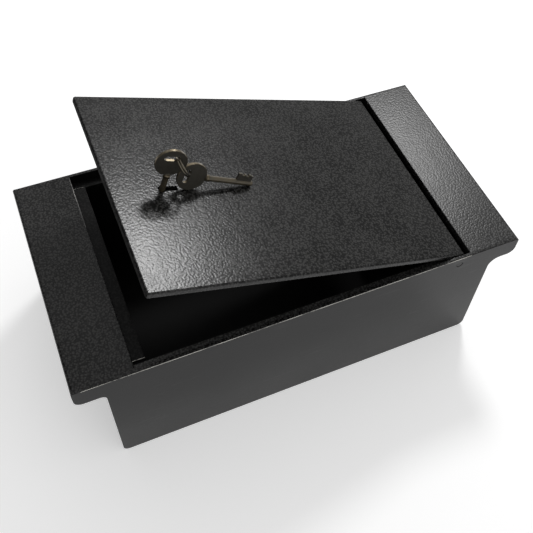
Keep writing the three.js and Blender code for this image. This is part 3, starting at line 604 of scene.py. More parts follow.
@dataclass(frozen=True)
class SatinCoat:
    """Black powder coat with a finer, flatter grain, under speckled painted floor light that grows
    lighter towards the ground.
    """

    dark: Colour = (0.002, 0.002, 0.0021)
    light: Colour = (0.008, 0.008, 0.0082)
    painted_floor_light: Colour = (0.032, 0.032, 0.0318)
    painted_light_top: float = 108.0
    painted_light_least: float = 0.85
    painted_light_specks: float = 0.3
    grain: float = 1.1
    wave: float = 3.2
    depth: float = 0.036
    speck_span: Span = (0.35, 0.65)
    speck_share: float = 0.4
    patch: float = 55.0
    patch_span: Span = (0.3, 0.7)
    patch_share: float = 0.7
    scuff: float = 1.2
    scuff_way: Point = (30, 1, 4)
    scuff_span: Span = (0.62, 0.75)
    scuff_share: float = 0.3
    scuff_shine: float = 0.06
    gloss: float = 0.44
    gloss_spread: float = 0.1
    specular: float = 0.34

    def material(self, name: str = "satin_coat") -> Material:
        """Builds the coating.

        Args:
            name: The material's name.

        Returns:
            The material.
        """
        recipe = Recipe(name)
        fine = recipe.noise(self.grain, detail=2)
        waves = recipe.noise(self.wave, detail=1)
        specks = fine.ramp(*self.speck_span)
        patches = recipe.noise(self.patch, detail=3)
        toned = patches.ramp(*self.patch_span) * self.patch_share
        scuffs = recipe.noise(self.scuff, detail=3, stretch=self.scuff_way).ramp(*self.scuff_span)
        tone = toned + specks * self.speck_share + scuffs * self.scuff_share
        coat = recipe.mix(tone, self.dark, self.light)
        # Painted floor light: the colour lifts to a lighter, speckled tone below this height, standing in
        # for light from the floor.
        low = recipe.along("Z").ramp(self.painted_light_top * MM, 0)
        painted_light_share = low * (specks * self.painted_light_specks + self.painted_light_least)
        gloss = patches * self.gloss_spread + (self.gloss - self.gloss_spread / 2)
        return recipe.surface(
            Base_Color=recipe.mix(painted_light_share, coat, self.painted_floor_light),
            Roughness=gloss - scuffs * self.scuff_shine,
            Normal=recipe.bump(fine + waves, self.depth),
            Specular_IOR_Level=self.specular,
        )


@dataclass(frozen=True)
class WornEdge:
    """A corner where the coat has rubbed thin, with specks of bare steel."""

    coat: Colour = (0.03, 0.03, 0.03)
    bare: Colour = (0.8, 0.78, 0.72)
    rubbed: Span = (0.3, 0.56)
    run: float = 22.0
    run_share: float = 0.65
    speck: float = 2.4
    depth: float = 0.02
    gloss: float = 0.34
    gloss_spread: float = 0.12

    def material(self, name: str = "worn_edge") -> Material:
        """Builds the rubbed corner.

        Args:
            name: The material's name.

        Returns:
            The material.
        """
        recipe = Recipe(name)
        runs = recipe.noise(self.run, detail=2)
        specks = recipe.noise(self.speck, detail=2)
        rubbed = (runs * self.run_share + specks * (1 - self.run_share)).ramp(*self.rubbed)
        return recipe.surface(
            Base_Color=recipe.mix(rubbed, self.coat, self.bare),
            Roughness=self.gloss + specks * self.gloss_spread,
            Metallic=rubbed,
            Normal=recipe.bump(specks, self.depth),
        )


@dataclass(frozen=True)
class Metal:
    """A bare or plated metal with a drawn grain, tarnish and small scratches."""

    clean: Colour
    dull: Colour
    gloss: float
    grain: Point = (1, 12, 1)
    grain_size: float = 0.5
    grain_depth: float = 0.004
    tarnish_size: float = 6.0
    tarnish: Span = (0.4, 0.7)
    gloss_spread: float = 0.12
    metallic: float = 1.0
    lacquer: float = 0.0
    lacquer_gloss: float = 0.25

    def material(self, name: str) -> Material:
        """Builds the metal.

        Args:
            name: The material's name.

        Returns:
            The material.
        """
        recipe = Recipe(name)
        brushed = recipe.noise(self.grain_size, detail=2, stretch=self.grain)
        stained = recipe.noise(self.tarnish_size, detail=4).ramp(*self.tarnish)
        spread = brushed * self.gloss_spread + stained * self.gloss_spread
        return recipe.surface(
            Base_Color=recipe.mix(stained, self.clean, self.dull),
            Roughness=spread + (self.gloss - self.gloss_spread / 2),
            Metallic=self.metallic,
            Coat_Weight=self.lacquer,
            Coat_Roughness=self.lacquer_gloss,
            Normal=recipe.bump(brushed, self.grain_depth),
        )


class Palette:
    """Every finish of the safe, with each one's variants for its places; some variants are darker or
    lighter copies that carry painted shade or painted light.
    """

    def __init__(self) -> None:
        """Builds the finishes."""
        even = (1, 1, 1)
        self.hammered = HammeredCoat().material()
        # Painted shade: a darker, duller copy of the hammered coat for the ledge and the back strip,
        # which lie in shade under the lid.
        self.hammered_painted_shade = HammeredCoat(
            light=(0.014, 0.014, 0.0135), gloss=0.4, specular=0.14
        ).material("hammered_coat_painted_shade")
        self.hammered_flange = HammeredCoat(
            gloss=0.28, depth=0.11, gloss_spread=0.13
        ).material("hammered_coat_flange")
        # Painted light: a lighter copy of the hammered coat that stands in for light falling on the front
        # strip.
        self.hammered_painted_light = HammeredCoat(
            dark=(0.03, 0.03, 0.029), light=(0.1, 0.099, 0.096), depth=0.06
        ).material("hammered_coat_painted_light")
        # Painted shade: a darker copy with almost no reflection for the lid's left end face, which lies
        # in shade.
        self.hammered_end_painted_shade = HammeredCoat(
            light=(0.03, 0.03, 0.029), gloss=0.5, specular=0.02
        ).material("hammered_coat_end_painted_shade")
        self.satin = SatinCoat().material()
        # Painted shade: a darker, duller copy of the satin coat for the box's inner faces, which lie in
        # shade.
        self.satin_painted_shade = SatinCoat(
            dark=(0.003, 0.003, 0.003), light=(0.006, 0.006, 0.006), painted_floor_light=(0.005, 0.005, 0.005),
            gloss=0.55, specular=0.14,
        ).material("satin_coat_painted_shade")
        self.worn = WornEdge().material()
        self.thinly_worn = WornEdge(
            bare=(0.26, 0.25, 0.24), rubbed=(0.4, 0.7)
        ).material("thinly_worn_edge")
        self.steel = Metal((0.5, 0.5, 0.51), (0.3, 0.3, 0.31), 0.32).material("zinc_plated_steel")
        self.hardened = Metal((0.28, 0.28, 0.3), (0.16, 0.16, 0.17), 0.34).material("ground_hard_steel")
        self.brass = Metal((0.62, 0.46, 0.22), (0.36, 0.25, 0.12), 0.3).material("stamped_brass")
        # Partly tarnish, partly painted reflection: the bow and bit faces are darker than the rim,
        # standing in for the dark surroundings that they reflect.
        self.key_face_tarnish_and_dark_reflection = Metal(
            (0.1, 0.093, 0.078), (0.075, 0.07, 0.058), 0.36, even, grain_size=0.4, grain_depth=0.003,
            metallic=0.7,
        ).material("key_face_tarnish_and_painted_reflection")
        self.key_rim = Metal(
            (0.18, 0.145, 0.09), (0.08, 0.064, 0.038), 0.28, even, grain_depth=0.001, tarnish_size=5.0,
            lacquer=0.7,
        ).material("worn_key_rim")
        self.key_shaft = Metal(
            (0.105, 0.084, 0.05), (0.075, 0.064, 0.044), 0.32, even, grain_depth=0.002,
            tarnish_size=5.0, metallic=0.5, lacquer=0.7,
        ).material("worn_key_shaft")
        self.ring = Metal(
            (0.17, 0.148, 0.105), (0.08, 0.068, 0.048), 0.18, even, lacquer=0.7
        ).material("worn_ring")
        self.lock_metals = {
            Slot.STEEL: self.steel,
            Slot.HARDENED: self.hardened,
            Slot.BRASS: self.brass,
            Slot.SPRING: self.ring,
        }


@dataclass(frozen=True)
class BoxSizes:
    """The box's main sizes, which the lid shares."""

    length: float = 347.0
    shoulder_reach: float = 24.0
    width: float = 210.0
    height: float = 132.0
    shoulder_depth: float = 20.0
    sheet: float = 3.0
    top_plate: float = 6.0
    left_rim: float = 25.5
    right_rim: float = 25.0

    @property
    def wall_x(self) -> float:
        """Half the box's length."""
        return self.length / 2

    @property
    def outer_x(self) -> float:
        """Half the length over the shoulders."""
        return self.wall_x + self.shoulder_reach

    @property
    def outer_y(self) -> float:
        """Half the width."""
        return self.width / 2

    @property
    def inner_y(self) -> float:
        """Half the width between the side plates."""
        return self.outer_y - self.sheet

    @property
    def shoulder_z(self) -> float:
        """The height of the shoulders' undersides."""
        return self.height - self.shoulder_depth

    @property
    def plate_under_z(self) -> float:
        """The height of the top plates' undersides."""
        return self.height - self.top_plate

    @property
    def opening_left(self) -> float:
        """Where the opening starts."""
        return -self.wall_x + self.left_rim

    @property
    def opening_right(self) -> float:
        """Where the opening ends."""
        return self.wall_x - self.right_rim


@dataclass
class SafeBox:
    """The welded box: two T shaped side plates, a folded pan, two top plates, a ledge and two strips."""

    sizes: BoxSizes
    palette: Palette
    rod_x: float
    rod_z: float
    rod_hole: float = 3.06
    shoulder_round: float = 7.0
    left_inner_round: float = 5.0
    right_inner_round: float = 10.0
    bottom_round: float = 6.0
    top_edge_round: float = 2.5
    fold_steps: int = 8
    soft_edge: float = 0.35
    worn_round: float = 0.7
    worn_steps: int = 3
    worn_from_x: float = -190.0
    hammered_from_z: float = 117.0
    rubbed_from_y: float = 42.0
    ledge_reach: float = 10.3
    ledge_hidden: float = 14.0
    ledge_thick: float = 3.0
    ledge_end_gap: float = 1.4
    strip_width: float = 8.6
    strip_drop: float = 3.0
    strip_thick: float = 3.0
    strip_end_gap: float = 9.0

    def build(self) -> None:
        """Makes every piece of the box and seats it."""
        sizes, palette = self.sizes, self.palette
        self._side_plate("front_side_plate", "front_plate", -1)
        self._side_plate("back_side_plate", "back_plate", 1)
        self._pan()
        self._top_plate("left_flange", "left_top_plate", -sizes.outer_x, sizes.opening_left)
        self._top_plate("right_flange", "right_top_plate", sizes.outer_x, sizes.opening_right)
        self._ledge()
        # The front strip wears the lighter copy of the coat, as painted light.
        self._strip("front_ledge_strip", "front_strip", -sizes.inner_y, palette.hammered_painted_light)
        back = sizes.inner_y - self.strip_width
        # The back strip wears the darker copy of the coat, as painted shade.
        self._strip("back_ledge_strip", "back_strip", back, palette.hammered_painted_shade)

    def _round_folds(self, piece: Piece) -> None:
        """Rounds the bends that the side plates and the pan share.

        Args:
            piece: A side plate or the pan.
        """
        sizes = self.sizes
        for x, z, left_radius, right_radius in (
            (sizes.wall_x, 0, self.bottom_round, self.bottom_round),
            (sizes.wall_x, sizes.shoulder_z, self.left_inner_round, self.right_inner_round),
            (sizes.outer_x, sizes.shoulder_z, self.shoulder_round, self.shoulder_round),
        ):
            piece.round_edges(ends_at(x=-x, z=z), left_radius, self.fold_steps)
            piece.round_edges(ends_at(x=x, z=z), right_radius, self.fold_steps)

    def _side_plate(self, name: str, node: str, side: int) -> None:
        """Draws a T shaped side plate out of one block, rounds its corners and rubs its top edge.

        Args:
            name: The piece's name.
            node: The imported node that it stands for.
            side: -1 for the front plate, 1 for the back one.
        """
        sizes, palette = self.sizes, self.palette
        outer, inner = side * sizes.outer_y, side * sizes.inner_y
        low = (-sizes.wall_x, min(outer, inner), 0)
        plate = Piece.block(name, low, (sizes.wall_x, max(outer, inner), sizes.height))
        plate.slice((0, 0, sizes.shoulder_z), (0, 0, 1))
        for end in (-1, 1):
            plate.pull(
                "FACE",
                lambda at, way: way.x * end > STRAIGHT and at.z > sizes.shoulder_z,
                (end * sizes.shoulder_reach, 0, 0),
            )
        plate.wear(palette.satin, palette.worn, palette.hammered, palette.satin_painted_shade)
        for x in (-sizes.outer_x, sizes.outer_x):
            corner = ends_at(x=x, z=sizes.height)
            plate.round_edges(corner, self.top_edge_round, self.fold_steps)
        self._round_folds(plate)
        middle = (self.rod_x, (outer + inner) / 2, self.rod_z)
        plate.combine(Piece.bar("rod_hole", middle, self.rod_hole, 2 * sizes.sheet, Axis.Y))
        for x in (self.worn_from_x, sizes.opening_right):
            plate.slice((x, 0, 0), (1, 0, 0))
        top_edge = ends_at(y=outer, z=sizes.height)
        plate.round_edges(top_edge, self.worn_round, self.worn_steps, palette.worn)
        plate.coat(palette.satin, self._past_the_wear)
        plate.settle()
        plate.soften(self.soft_edge, flush=ends_at(y=inner))
        plate.coat(palette.hammered, lambda at, way: way.z > HALFWAY and at.z > self.hammered_from_z)
        # The inner faces get the darker copy of the coat, as painted shade.
        plate.coat(
            palette.satin_painted_shade, lambda at, way: abs(way.y) > STRAIGHT and close(at.y, inner)
        )
        plate.hand_over("box", Slot.SATIN, node)

    def _past_the_wear(self, at: Vector, way: Vector) -> bool:
        """Whether a face is on a side plate's top round, but left or right of its rubbed length."""
        on_round = at.z > self.sizes.height - 2 * self.worn_round and TURNED < abs(way.y) < STRAIGHT
        return on_round and not self.worn_from_x < at.x < self.sizes.opening_right

    def _pan(self) -> None:
        """Folds one sheet into the floor, end walls and shoulders."""
        sizes = self.sizes
        spread = (sizes.length * MM, 2 * sizes.inner_y * MM, 1)
        pan = Piece.add("folded_pan", bpy.ops.mesh.primitive_plane_add, spread, size=1)
        folds = [
            (sizes.wall_x, 0, (0, 0, sizes.shoulder_z)),
            (sizes.wall_x, sizes.shoulder_z, (sizes.shoulder_reach, 0, 0)),
            (sizes.outer_x, sizes.shoulder_z, (0, 0, sizes.plate_under_z - sizes.shoulder_z)),
        ]
        for side in (-1, 1):
            for x, z, (move_x, _, move_z) in folds:
                pan.pull("EDGE", ends_at(x=side * x, z=z), (side * move_x, 0, move_z))
        self._round_folds(pan)
        pan.settle()
        with pan.editing("FACE") as mesh:
            floor = min(mesh.faces, key=lambda face: face.calc_center_median().z)
            if floor.normal.z > 0:
                bpy.ops.mesh.flip_normals()
        pan.modify("SOLIDIFY", thickness=sizes.sheet * MM, offset=-1.0, use_even_offset=True)
        pan.settle()
        pan.wear(self.palette.satin, self.palette.satin_painted_shade)
        # The pan's inside faces get the darker copy of the coat, as painted shade.
        pan.coat(self.palette.satin_painted_shade, self._inside)
        pan.smooth()
        pan.hand_over("box", Slot.SATIN, "body_pan")

    @staticmethod
    def _inside(at: Vector, way: Vector) -> bool:
        """Whether a face of the pan looks up or in, and not out of the box."""
        return way.z > TURNED or (abs(way.x) > TURNED and at.x * way.x < 0)

    def _top_plate(self, name: str, node: str, outer: float, inner: float) -> None:
        """Makes a flange plate with its outer edge rolled over.

        The left plate's inner edge is rubbed where the lid's back corner shuts past it.

        Args:
            name: The piece's name.
            node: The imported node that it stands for.
            outer: Where its outer edge is.
            inner: Where its inner edge is.
        """
        sizes, palette = self.sizes, self.palette
        plate = Piece.block(
            name,
            (min(outer, inner), -sizes.inner_y, sizes.plate_under_z),
            (max(outer, inner), sizes.inner_y, sizes.height),
        )
        on_left = outer < inner
        plate.wear(palette.hammered if on_left else palette.hammered_flange, palette.thinly_worn)
        plate.slice((0, self.rubbed_from_y, 0), (0, 1, 0))
        for x, radius, steps in (
            (outer, self.top_edge_round, self.fold_steps),
            (inner, self.worn_round, self.worn_steps),
        ):
            plate.round_edges(ends_at(x=x, z=sizes.height), radius, steps)
        if on_left:
            plate.coat(
                palette.thinly_worn,
                lambda at, way: TURNED < way.x < STRAIGHT and at.y > self.rubbed_from_y,
            )
        plate.settle()
        plate.soften(self.soft_edge, flush=across(sizes.inner_y))
        plate.hand_over("box", Slot.HAMMERED, node)

    def _ledge(self) -> None:
        """Makes the strip that the lid's free edge shuts down on."""
        sizes, palette = self.sizes, self.palette
        half = sizes.inner_y - self.strip_width - self.ledge_end_gap
        high = sizes.plate_under_z
        strip = Piece.block(
            "lid_ledge",
            (sizes.opening_left - self.ledge_hidden, -half, high - self.ledge_thick),
            (sizes.opening_left + self.ledge_reach, half, high),
        )
        # The ledge wears the darker copy of the hammered coat, as painted shade.
        strip.wear(palette.hammered_painted_shade, palette.worn)
        top, ends = ends_at(z=high), across(half)
        strip.round_edges(both(top, ends), self.soft_edge, self.worn_steps, palette.worn)
        strip.soften(self.soft_edge)
        strip.hand_over("box", Slot.HAMMERED, "left_ledge")

    def _strip(self, name: str, node: str, front: float, coat: Material) -> None:
        """Makes one of the two strips along the opening's long sides, short of the rod's welds.

        Args:
            name: The piece's name.
            node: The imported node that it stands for.
            front: Where its front edge is.
            coat: Its finish.
        """
        sizes = self.sizes
        high = sizes.plate_under_z - self.strip_drop
        strip = Piece.block(
            name,
            (-sizes.wall_x + sizes.sheet, front, high - self.strip_thick),
            (self.rod_x - self.strip_end_gap, front + self.strip_width, high),
        )
        strip.wear(coat)
        strip.soften(self.soft_edge)
        strip.hand_over("box", Slot.HAMMERED, node)


@dataclass
class LidPlan:
    """Where the lid, its rod and its keyhole are, drawn with the lid shut."""

    sizes: BoxSizes
    left_gap: float = 1.0
    right_gap: float = 7.0
    side_gap: float = 1.0
    rest_gap: float = 0.2
    rod_diameter: float = 6.0
    rod_inset: float = 3.0
    play: float = 0.3
    open_degrees: float = 19.04
    key_from_edge: float = 41.5
    key_from_centre: float = -6.0
    tip_z: float = 104.05

    @property
    def left(self) -> float:
        """The lid's free edge."""
        return self.sizes.opening_left + self.left_gap

    @property
    def right(self) -> float:
        """The lid's hinge edge."""
        return self.sizes.opening_right - self.right_gap

    @property
    def half_width(self) -> float:
        """Half the lid's width."""
        return self.sizes.inner_y - self.side_gap

    @property
    def thick(self) -> float:
        """The lid's thickness."""
        return self.sizes.top_plate - self.rest_gap

    @property
    def under_z(self) -> float:
        """The height of its underside."""
        return self.sizes.height - self.thick

    @property
    def pivot_x(self) -> float:
        """The rod's place along the length."""
        return self.right - self.rod_inset

    @property
    def pivot_z(self) -> float:
        """The rod's height."""
        return self.under_z - self.play - self.rod_diameter / 2

    @property
    def key_x(self) -> float:
        """The keyhole's place along the length."""
        return self.left + self.key_from_edge

    @property
    def turn(self) -> Matrix:
        """The move that swings a piece from the shut lid to where the lid stands.

        Returns:
            The move, in metres.
        """
        pivot = Vector((self.pivot_x, 0, self.pivot_z)) * MM
        swing = Matrix.Rotation(math.radians(self.open_degrees), 4, "Y")
        return Matrix.Translation(pivot) @ swing @ Matrix.Translation(-pivot)


@dataclass
class Lid:
    """The lid, its keyhole, and the hinge rod welded under it."""

    plan: LidPlan
    palette: Palette
    corner: float = 1.9
    edge: float = 1.5
    edge_steps: int = 4
    end_turn: float = 0.6
    hole_radius: float = 3.5
    hole_soft: float = 0.3
    slot_width: float = 4.8
    slot_reach: float = 12.4
    cutter_over: float = 5.0
    screw_hole: float = 2.35
    screw_hole_sides: int = 24
    screw_depth: float = 3.3
    screw_columns: Span = (-130.0, -67.0)
    screw_rows: Span = (-33.5, 21.5)
    rod_end_inset: float = 0.2
    rod_end_round: float = 0.5
    rod_end_steps: int = 3
    weld_count: int = 5
    weld_length: float = 18.0
    weld_leg: float = 2.6
    weld_margin: float = 4.0
    weld_steps: int = 5

    def build(self) -> None:
        """Makes the lid and its rod and seats them."""
        self._panel()
        self._rod()

    def _panel(self) -> None:
        """Makes the lid, rounds it and cuts the keyhole and the screws' blind holes."""
        plan, palette = self.plan, self.palette
        panel = Piece.block(
            "hammered_lid",
            (plan.left, -plan.half_width, plan.under_z),
            (plan.right, plan.half_width, plan.sizes.height),
        )
        panel.wear(palette.hammered, palette.hammered_end_painted_shade)
        panel.round_edges(alike("x", "y"), self.corner, self.edge_steps)
        panel.round_edges(alike("z"), self.edge, self.edge_steps)
        panel.combine(self._keyhole())
        for x in self.screw_columns:
            for y in self.screw_rows:
                blind = Piece.bar(
                    "blind_hole", (x, y, plan.under_z), self.screw_hole, 2 * self.screw_depth, Axis.Z,
                    self.screw_hole_sides,
                )
                panel.combine(blind)
        panel.settle()
        # The lid's left end face gets the darker copy of the coat, as painted shade.
        panel.coat(palette.hammered_end_painted_shade, lambda at, way: way.x < -self.end_turn)
        panel.soften(self.hole_soft)
        panel.move(plan.turn)
        panel.hand_over("lid", Slot.HAMMERED, "lid_plate")

    def _keyhole(self) -> Piece:
        """Makes the cutter for the keyhole, a round with a slot for the bit.

        Returns:
            The cutter.
        """
        plan = self.plan
        high = plan.sizes.height
        middle = (plan.key_x, plan.key_from_centre, (plan.under_z + high) / 2)
        hole = Piece.bar("keyhole", middle, self.hole_radius, 3 * plan.thick, Axis.Z)
        half = self.slot_width / 2
        slot = Piece.block(
            "keyhole_slot",
            (plan.key_x, plan.key_from_centre - half, plan.under_z - self.cutter_over),
            (plan.key_x + self.slot_reach, plan.key_from_centre + half, high + self.cutter_over),
        )
        hole.combine(slot, "UNION")
        return hole

    def _rod(self) -> None:
        """Makes the hinge rod with its short fillet welds."""
        plan = self.plan
        reach = plan.sizes.outer_y - self.rod_end_inset
        radius = plan.rod_diameter / 2
        rod = Piece.bar("hinge_bar", (plan.pivot_x, 0, plan.pivot_z), radius, 2 * reach, Axis.Y)
        rod.wear(self.palette.satin)
        rod.round_edges(across(reach), self.rod_end_round, self.rod_end_steps)
        foot = plan.pivot_x - radius - self.weld_leg
        half = self.weld_length / 2
        pitch = (2 * plan.half_width - 2 * self.weld_margin - self.weld_length) / (self.weld_count - 1)
        for index in range(self.weld_count):
            middle = (index - (self.weld_count - 1) / 2) * pitch
            bead = Piece.block(
                f"weld_{index + 1}",
                (foot, middle - half, plan.pivot_z),
                (plan.pivot_x, middle + half, plan.under_z - plan.play),
            )
            low_edge = ends_at(x=foot, z=plan.pivot_z)
            bead.round_edges(low_edge, self.weld_leg, self.weld_steps)
            rod.combine(bead, "UNION")
        rod.settle()
        rod.smooth()
        rod.move(plan.turn)
        rod.hand_over("lid", Slot.SATIN, "hinge_rod")


@dataclass
class KeySet:
    """The key in the lock, the spare key that lies on the lid, and their split ring."""

    plan: LidPlan
    palette: Palette
    twist_degrees: float = -5.0
    shaft: float = 4.6
    shaft_round: float = 0.6
    collar: float = 5.6
    collar_length: float = 3.0
    collar_round: float = 0.5
    round_steps: int = 3
    overlap: float = 1.0
    bow: float = 24.8
    bow_thick: float = 2.4
    bow_centre: float = 55.7
    bow_sides: int = 96
    bow_round: float = 0.4
    bow_steps: int = 4
    bow_rim: float = 1.4
    bow_sunk: float = 0.12
    eye_length: float = 12.4
    eye_height: float = 4.4
    eye_from_centre: float = 4.5
    eye_flat: float = 0.05
    eye_steps: int = 8
    bit_reach: float = 9.0
    bit_thick: float = 2.2
    bit_low: float = 2.1
    bit_high: float = 15.8
    bit_soft: float = 0.16
    step_foot: float = 1.825
    step_pitch: float = 2.15
    bolt_cut: float = 0.6
    lever_cuts: Sequence[float] = (2.0, 1.2, 2.6, 0.9, 1.7)
    spare_from_edge: float = 62.1
    spare_from_centre: float = -6.4
    spare_swing_degrees: float = -1.0
    spare_roll_degrees: float = 82.0
    ring: float = 19.0
    wire: float = 1.4
    wire_sides: int = 12
    ring_pitch: float = 1.65
    ring_turns: int = 2
    ring_steps: int = 56

    def build(self) -> None:
        """Makes one key, copies it, lays both, and hangs the ring through their eyes."""
        first = self._key()
        spare = first.copy("spare_key_on_lid")
        first_place = self._first_place()
        spare_place = self._spare_place()
        first.move(self.plan.turn @ self._metres(first_place))
        spare.move(self.plan.turn @ self._metres(spare_place))
        first.hand_over("key", Slot.KEY, "lock_key")
        spare.hand_over("spare", Slot.KEY, "spare_key")
        self._split_ring(first_place, spare_place)

    @staticmethod
    def _metres(place: Matrix) -> Matrix:
        """Turns a place in millimetres into one in metres."""
        return Matrix.Translation(place.translation * MM) @ place.to_3x3().to_4x4()

    def _first_place(self) -> Matrix:
        """The place of the key in the lock, with the lid shut."""
        foot = Vector((self.plan.key_x, self.plan.key_from_centre, self.plan.tip_z))
        return Matrix.Translation(foot) @ Matrix.Rotation(math.radians(self.twist_degrees), 4, "Z")

    def _dip(self, roll: float) -> float:
        """How far the spare key's axis dips when both its tip and its bow touch the lid.

        Args:
            roll: The key's turn about its axis, in radians.

        Returns:
            The dip, in radians.
        """
        rise = (self.bow_thick / 2) * abs(math.cos(roll)) - self.shaft / 2
        side = (self.bow / 2) * math.sin(roll)
        square = self.bow_centre**2 - (self.bow / 2) ** 2
        linear = self.bow_centre * rise
        return math.atan((linear + math.sqrt(linear**2 - square * (rise**2 - side**2))) / square)

    def _spare_place(self) -> Matrix:
        """The place of the spare key, with the lid shut.

        Returns:
            The place, in millimetres.
        """
        plan = self.plan
        roll = math.radians(self.spare_roll_degrees)
        swing = math.radians(self.spare_swing_degrees)
        dip = self._dip(roll)
        level_reach = math.cos(dip)
        to_tip = Vector((math.cos(swing) * level_reach, math.sin(swing) * level_reach, -math.sin(dip)))
        level = Vector((0, 0, 1)).cross(to_tip).normalized()
        over = to_tip.cross(level)
        bit_way = level * math.cos(roll) + over * math.sin(roll)
        face_way = (-to_tip).cross(bit_way)
        height = plan.play + self.bow_centre * math.sin(dip) + (self.shaft / 2) * math.cos(dip)
        x = plan.left + self.spare_from_edge
        bow = Vector((x, self.spare_from_centre, plan.sizes.height + height))
        turn = Matrix((bit_way, face_way, -to_tip)).transposed().to_4x4()
        return Matrix.Translation(bow + to_tip * self.bow_centre) @ turn

    def _key(self) -> Piece:
        """Makes a key on its own axes: the tip at zero, the shaft up Z, bit and bow along X.

        Returns:
            The key.
        """
        palette = self.palette
        finishes = (palette.key_face_tarnish_and_dark_reflection, palette.key_rim, palette.key_shaft)
        shaft_end = self.bow_centre - self.bow / 2
        length = shaft_end + self.overlap
        key = Piece.bar("key_in_lock", (0, 0, length / 2), self.shaft / 2, length, Axis.Z)
        key.wear(*finishes)
        key.coat(palette.key_shaft)
        key.round_edges(ends_at(z=0), self.shaft_round, self.round_steps)
        middle = (0, 0, shaft_end - self.collar_length / 2)
        collar = Piece.bar("collar", middle, self.collar / 2, self.collar_length, Axis.Z)
        collar.wear(*finishes)
        collar.coat(palette.key_rim)
        collar.round_edges(alike("z"), self.collar_round, self.round_steps)
        for part in (collar, self._bow(), self._bit()):
            key.combine(part, "UNION")
        key.settle()
        key.smooth()
        return key

    def _bow(self) -> Piece:
        """Makes the round bow with its raised rim and long eye.

        Returns:
            The bow.
        """
        rim = self.palette.key_rim
        bow = Piece.bar(
            "bow", (0, 0, self.bow_centre), self.bow / 2, self.bow_thick, Axis.Y, self.bow_sides
        )
        bow.wear(self.palette.key_face_tarnish_and_dark_reflection, rim)
        bow.coat(rim, lambda at, way: abs(way.y) < HALFWAY)
        bow.round_edges(across(self.bow_thick / 2), self.bow_round, self.bow_steps, rim)
        with bow.editing("FACE", lambda at, way: abs(way.y) > STRAIGHT):
            bpy.ops.mesh.inset(
                thickness=self.bow_rim * MM, depth=-self.bow_sunk * MM, use_individual=True
            )
        eye_z = self.bow_centre + self.eye_from_centre
        half = self.eye_height / 2
        eye = Piece.block(
            "eye",
            (-self.eye_length / 2, -self.bow_thick, eye_z - half),
            (self.eye_length / 2, self.bow_thick, eye_z + half),
        )
        eye.round_edges(alike("x", "z"), half - self.eye_flat, self.eye_steps)
        eye.wear(self.palette.key_face_tarnish_and_dark_reflection, rim)
        eye.coat(rim)
        bow.combine(eye)
        return bow

    def _bit(self) -> Piece:
        """Makes the bit with a step for each lever and one for the bolt.

        Returns:
            The bit.
        """
        half = self.bit_thick / 2
        bit = Piece.block("bit", (0, -half, self.bit_low), (self.bit_reach, half, self.bit_high))
        bit.wear(self.palette.key_face_tarnish_and_dark_reflection, self.palette.key_rim)
        depths = [*reversed(self.lever_cuts), self.bolt_cut]
        feet = [self.step_foot + index * self.step_pitch for index in range(len(depths))]
        tops = [*feet[1:], self.bit_high + self.overlap]
        for foot, top, depth in zip(feet, tops, depths):
            notch = Piece.block(
                "notch",
                (self.bit_reach - depth, -self.bit_thick, foot),
                (self.bit_reach + self.overlap, self.bit_thick, top),
            )
            bit.combine(notch)
        bit.settle()
        bit.soften(self.bit_soft, material=self.palette.key_rim)
        return bit

    def _split_ring(self, first: Matrix, spare: Matrix) -> None:
        """Winds two turns of wire and hangs them through both eyes.

        Args:
            first: The place of the key in the lock.
            spare: The place of the spare key.
        """
        end = self.eye_length / 2 - self.eye_height / 2
        eye_z = self.bow_centre + self.eye_from_centre
        start = first @ Vector((end, 0, eye_z))
        middle = spare @ Vector((0, 0, eye_z))
        along = spare.to_3x3() @ Vector((1, 0, 0))
        away = middle - start
        half = away.dot(along)
        room = max(0.0, half * half - away.length_squared + self.ring**2)
        reach = min(max(-half + math.sqrt(room), -end), end)
        down = (middle + along * reach - start).normalized()
        face = first.to_3x3() @ Vector((0, 1, 0))
        across_ring = (face - down * face.dot(down)).normalized()
        turn = Matrix((across_ring, down, across_ring.cross(down))).transposed().to_4x4()
        place = Matrix.Translation(start + down * self.ring / 2) @ turn
        coil = self._coil()
        coil.move(self.plan.turn @ self._metres(place))
        coil.hand_over("ring", Slot.SPRING, "split_ring")

    def _coil(self) -> Piece:
        """Winds the ring on its own axes, leaning a quarter of its pitch so the eyes hold it centred.

        Returns:
            The ring.
        """
        coil = Piece.add(
            "split_key_ring", bpy.ops.mesh.primitive_circle_add, vertices=self.wire_sides,
            radius=self.wire / 2 * MM, location=metres((self.ring / 2, 0, -self.ring_pitch)),
            rotation=Axis.Y.value,
        )
        coil.modify(
            "SCREW", axis="Z", angle=2 * math.pi, iterations=self.ring_turns,
            screw_offset=self.ring_pitch * MM, steps=self.ring_steps, render_steps=self.ring_steps,
            use_smooth_shade=True,
        )
        with coil.editing("EDGE"):
            bpy.ops.mesh.select_non_manifold(
                extend=False, use_wire=False, use_boundary=True, use_multi_face=False,
                use_non_contiguous=False, use_verts=False,
            )
            bpy.ops.mesh.edge_face_add()
        coil.settle()
        coil.wear(self.palette.ring)
        coil.smooth()
        lean = math.atan(self.ring_pitch / (2 * self.ring))
        coil.move(Matrix.Rotation(lean, 4, "X"))
        return coil


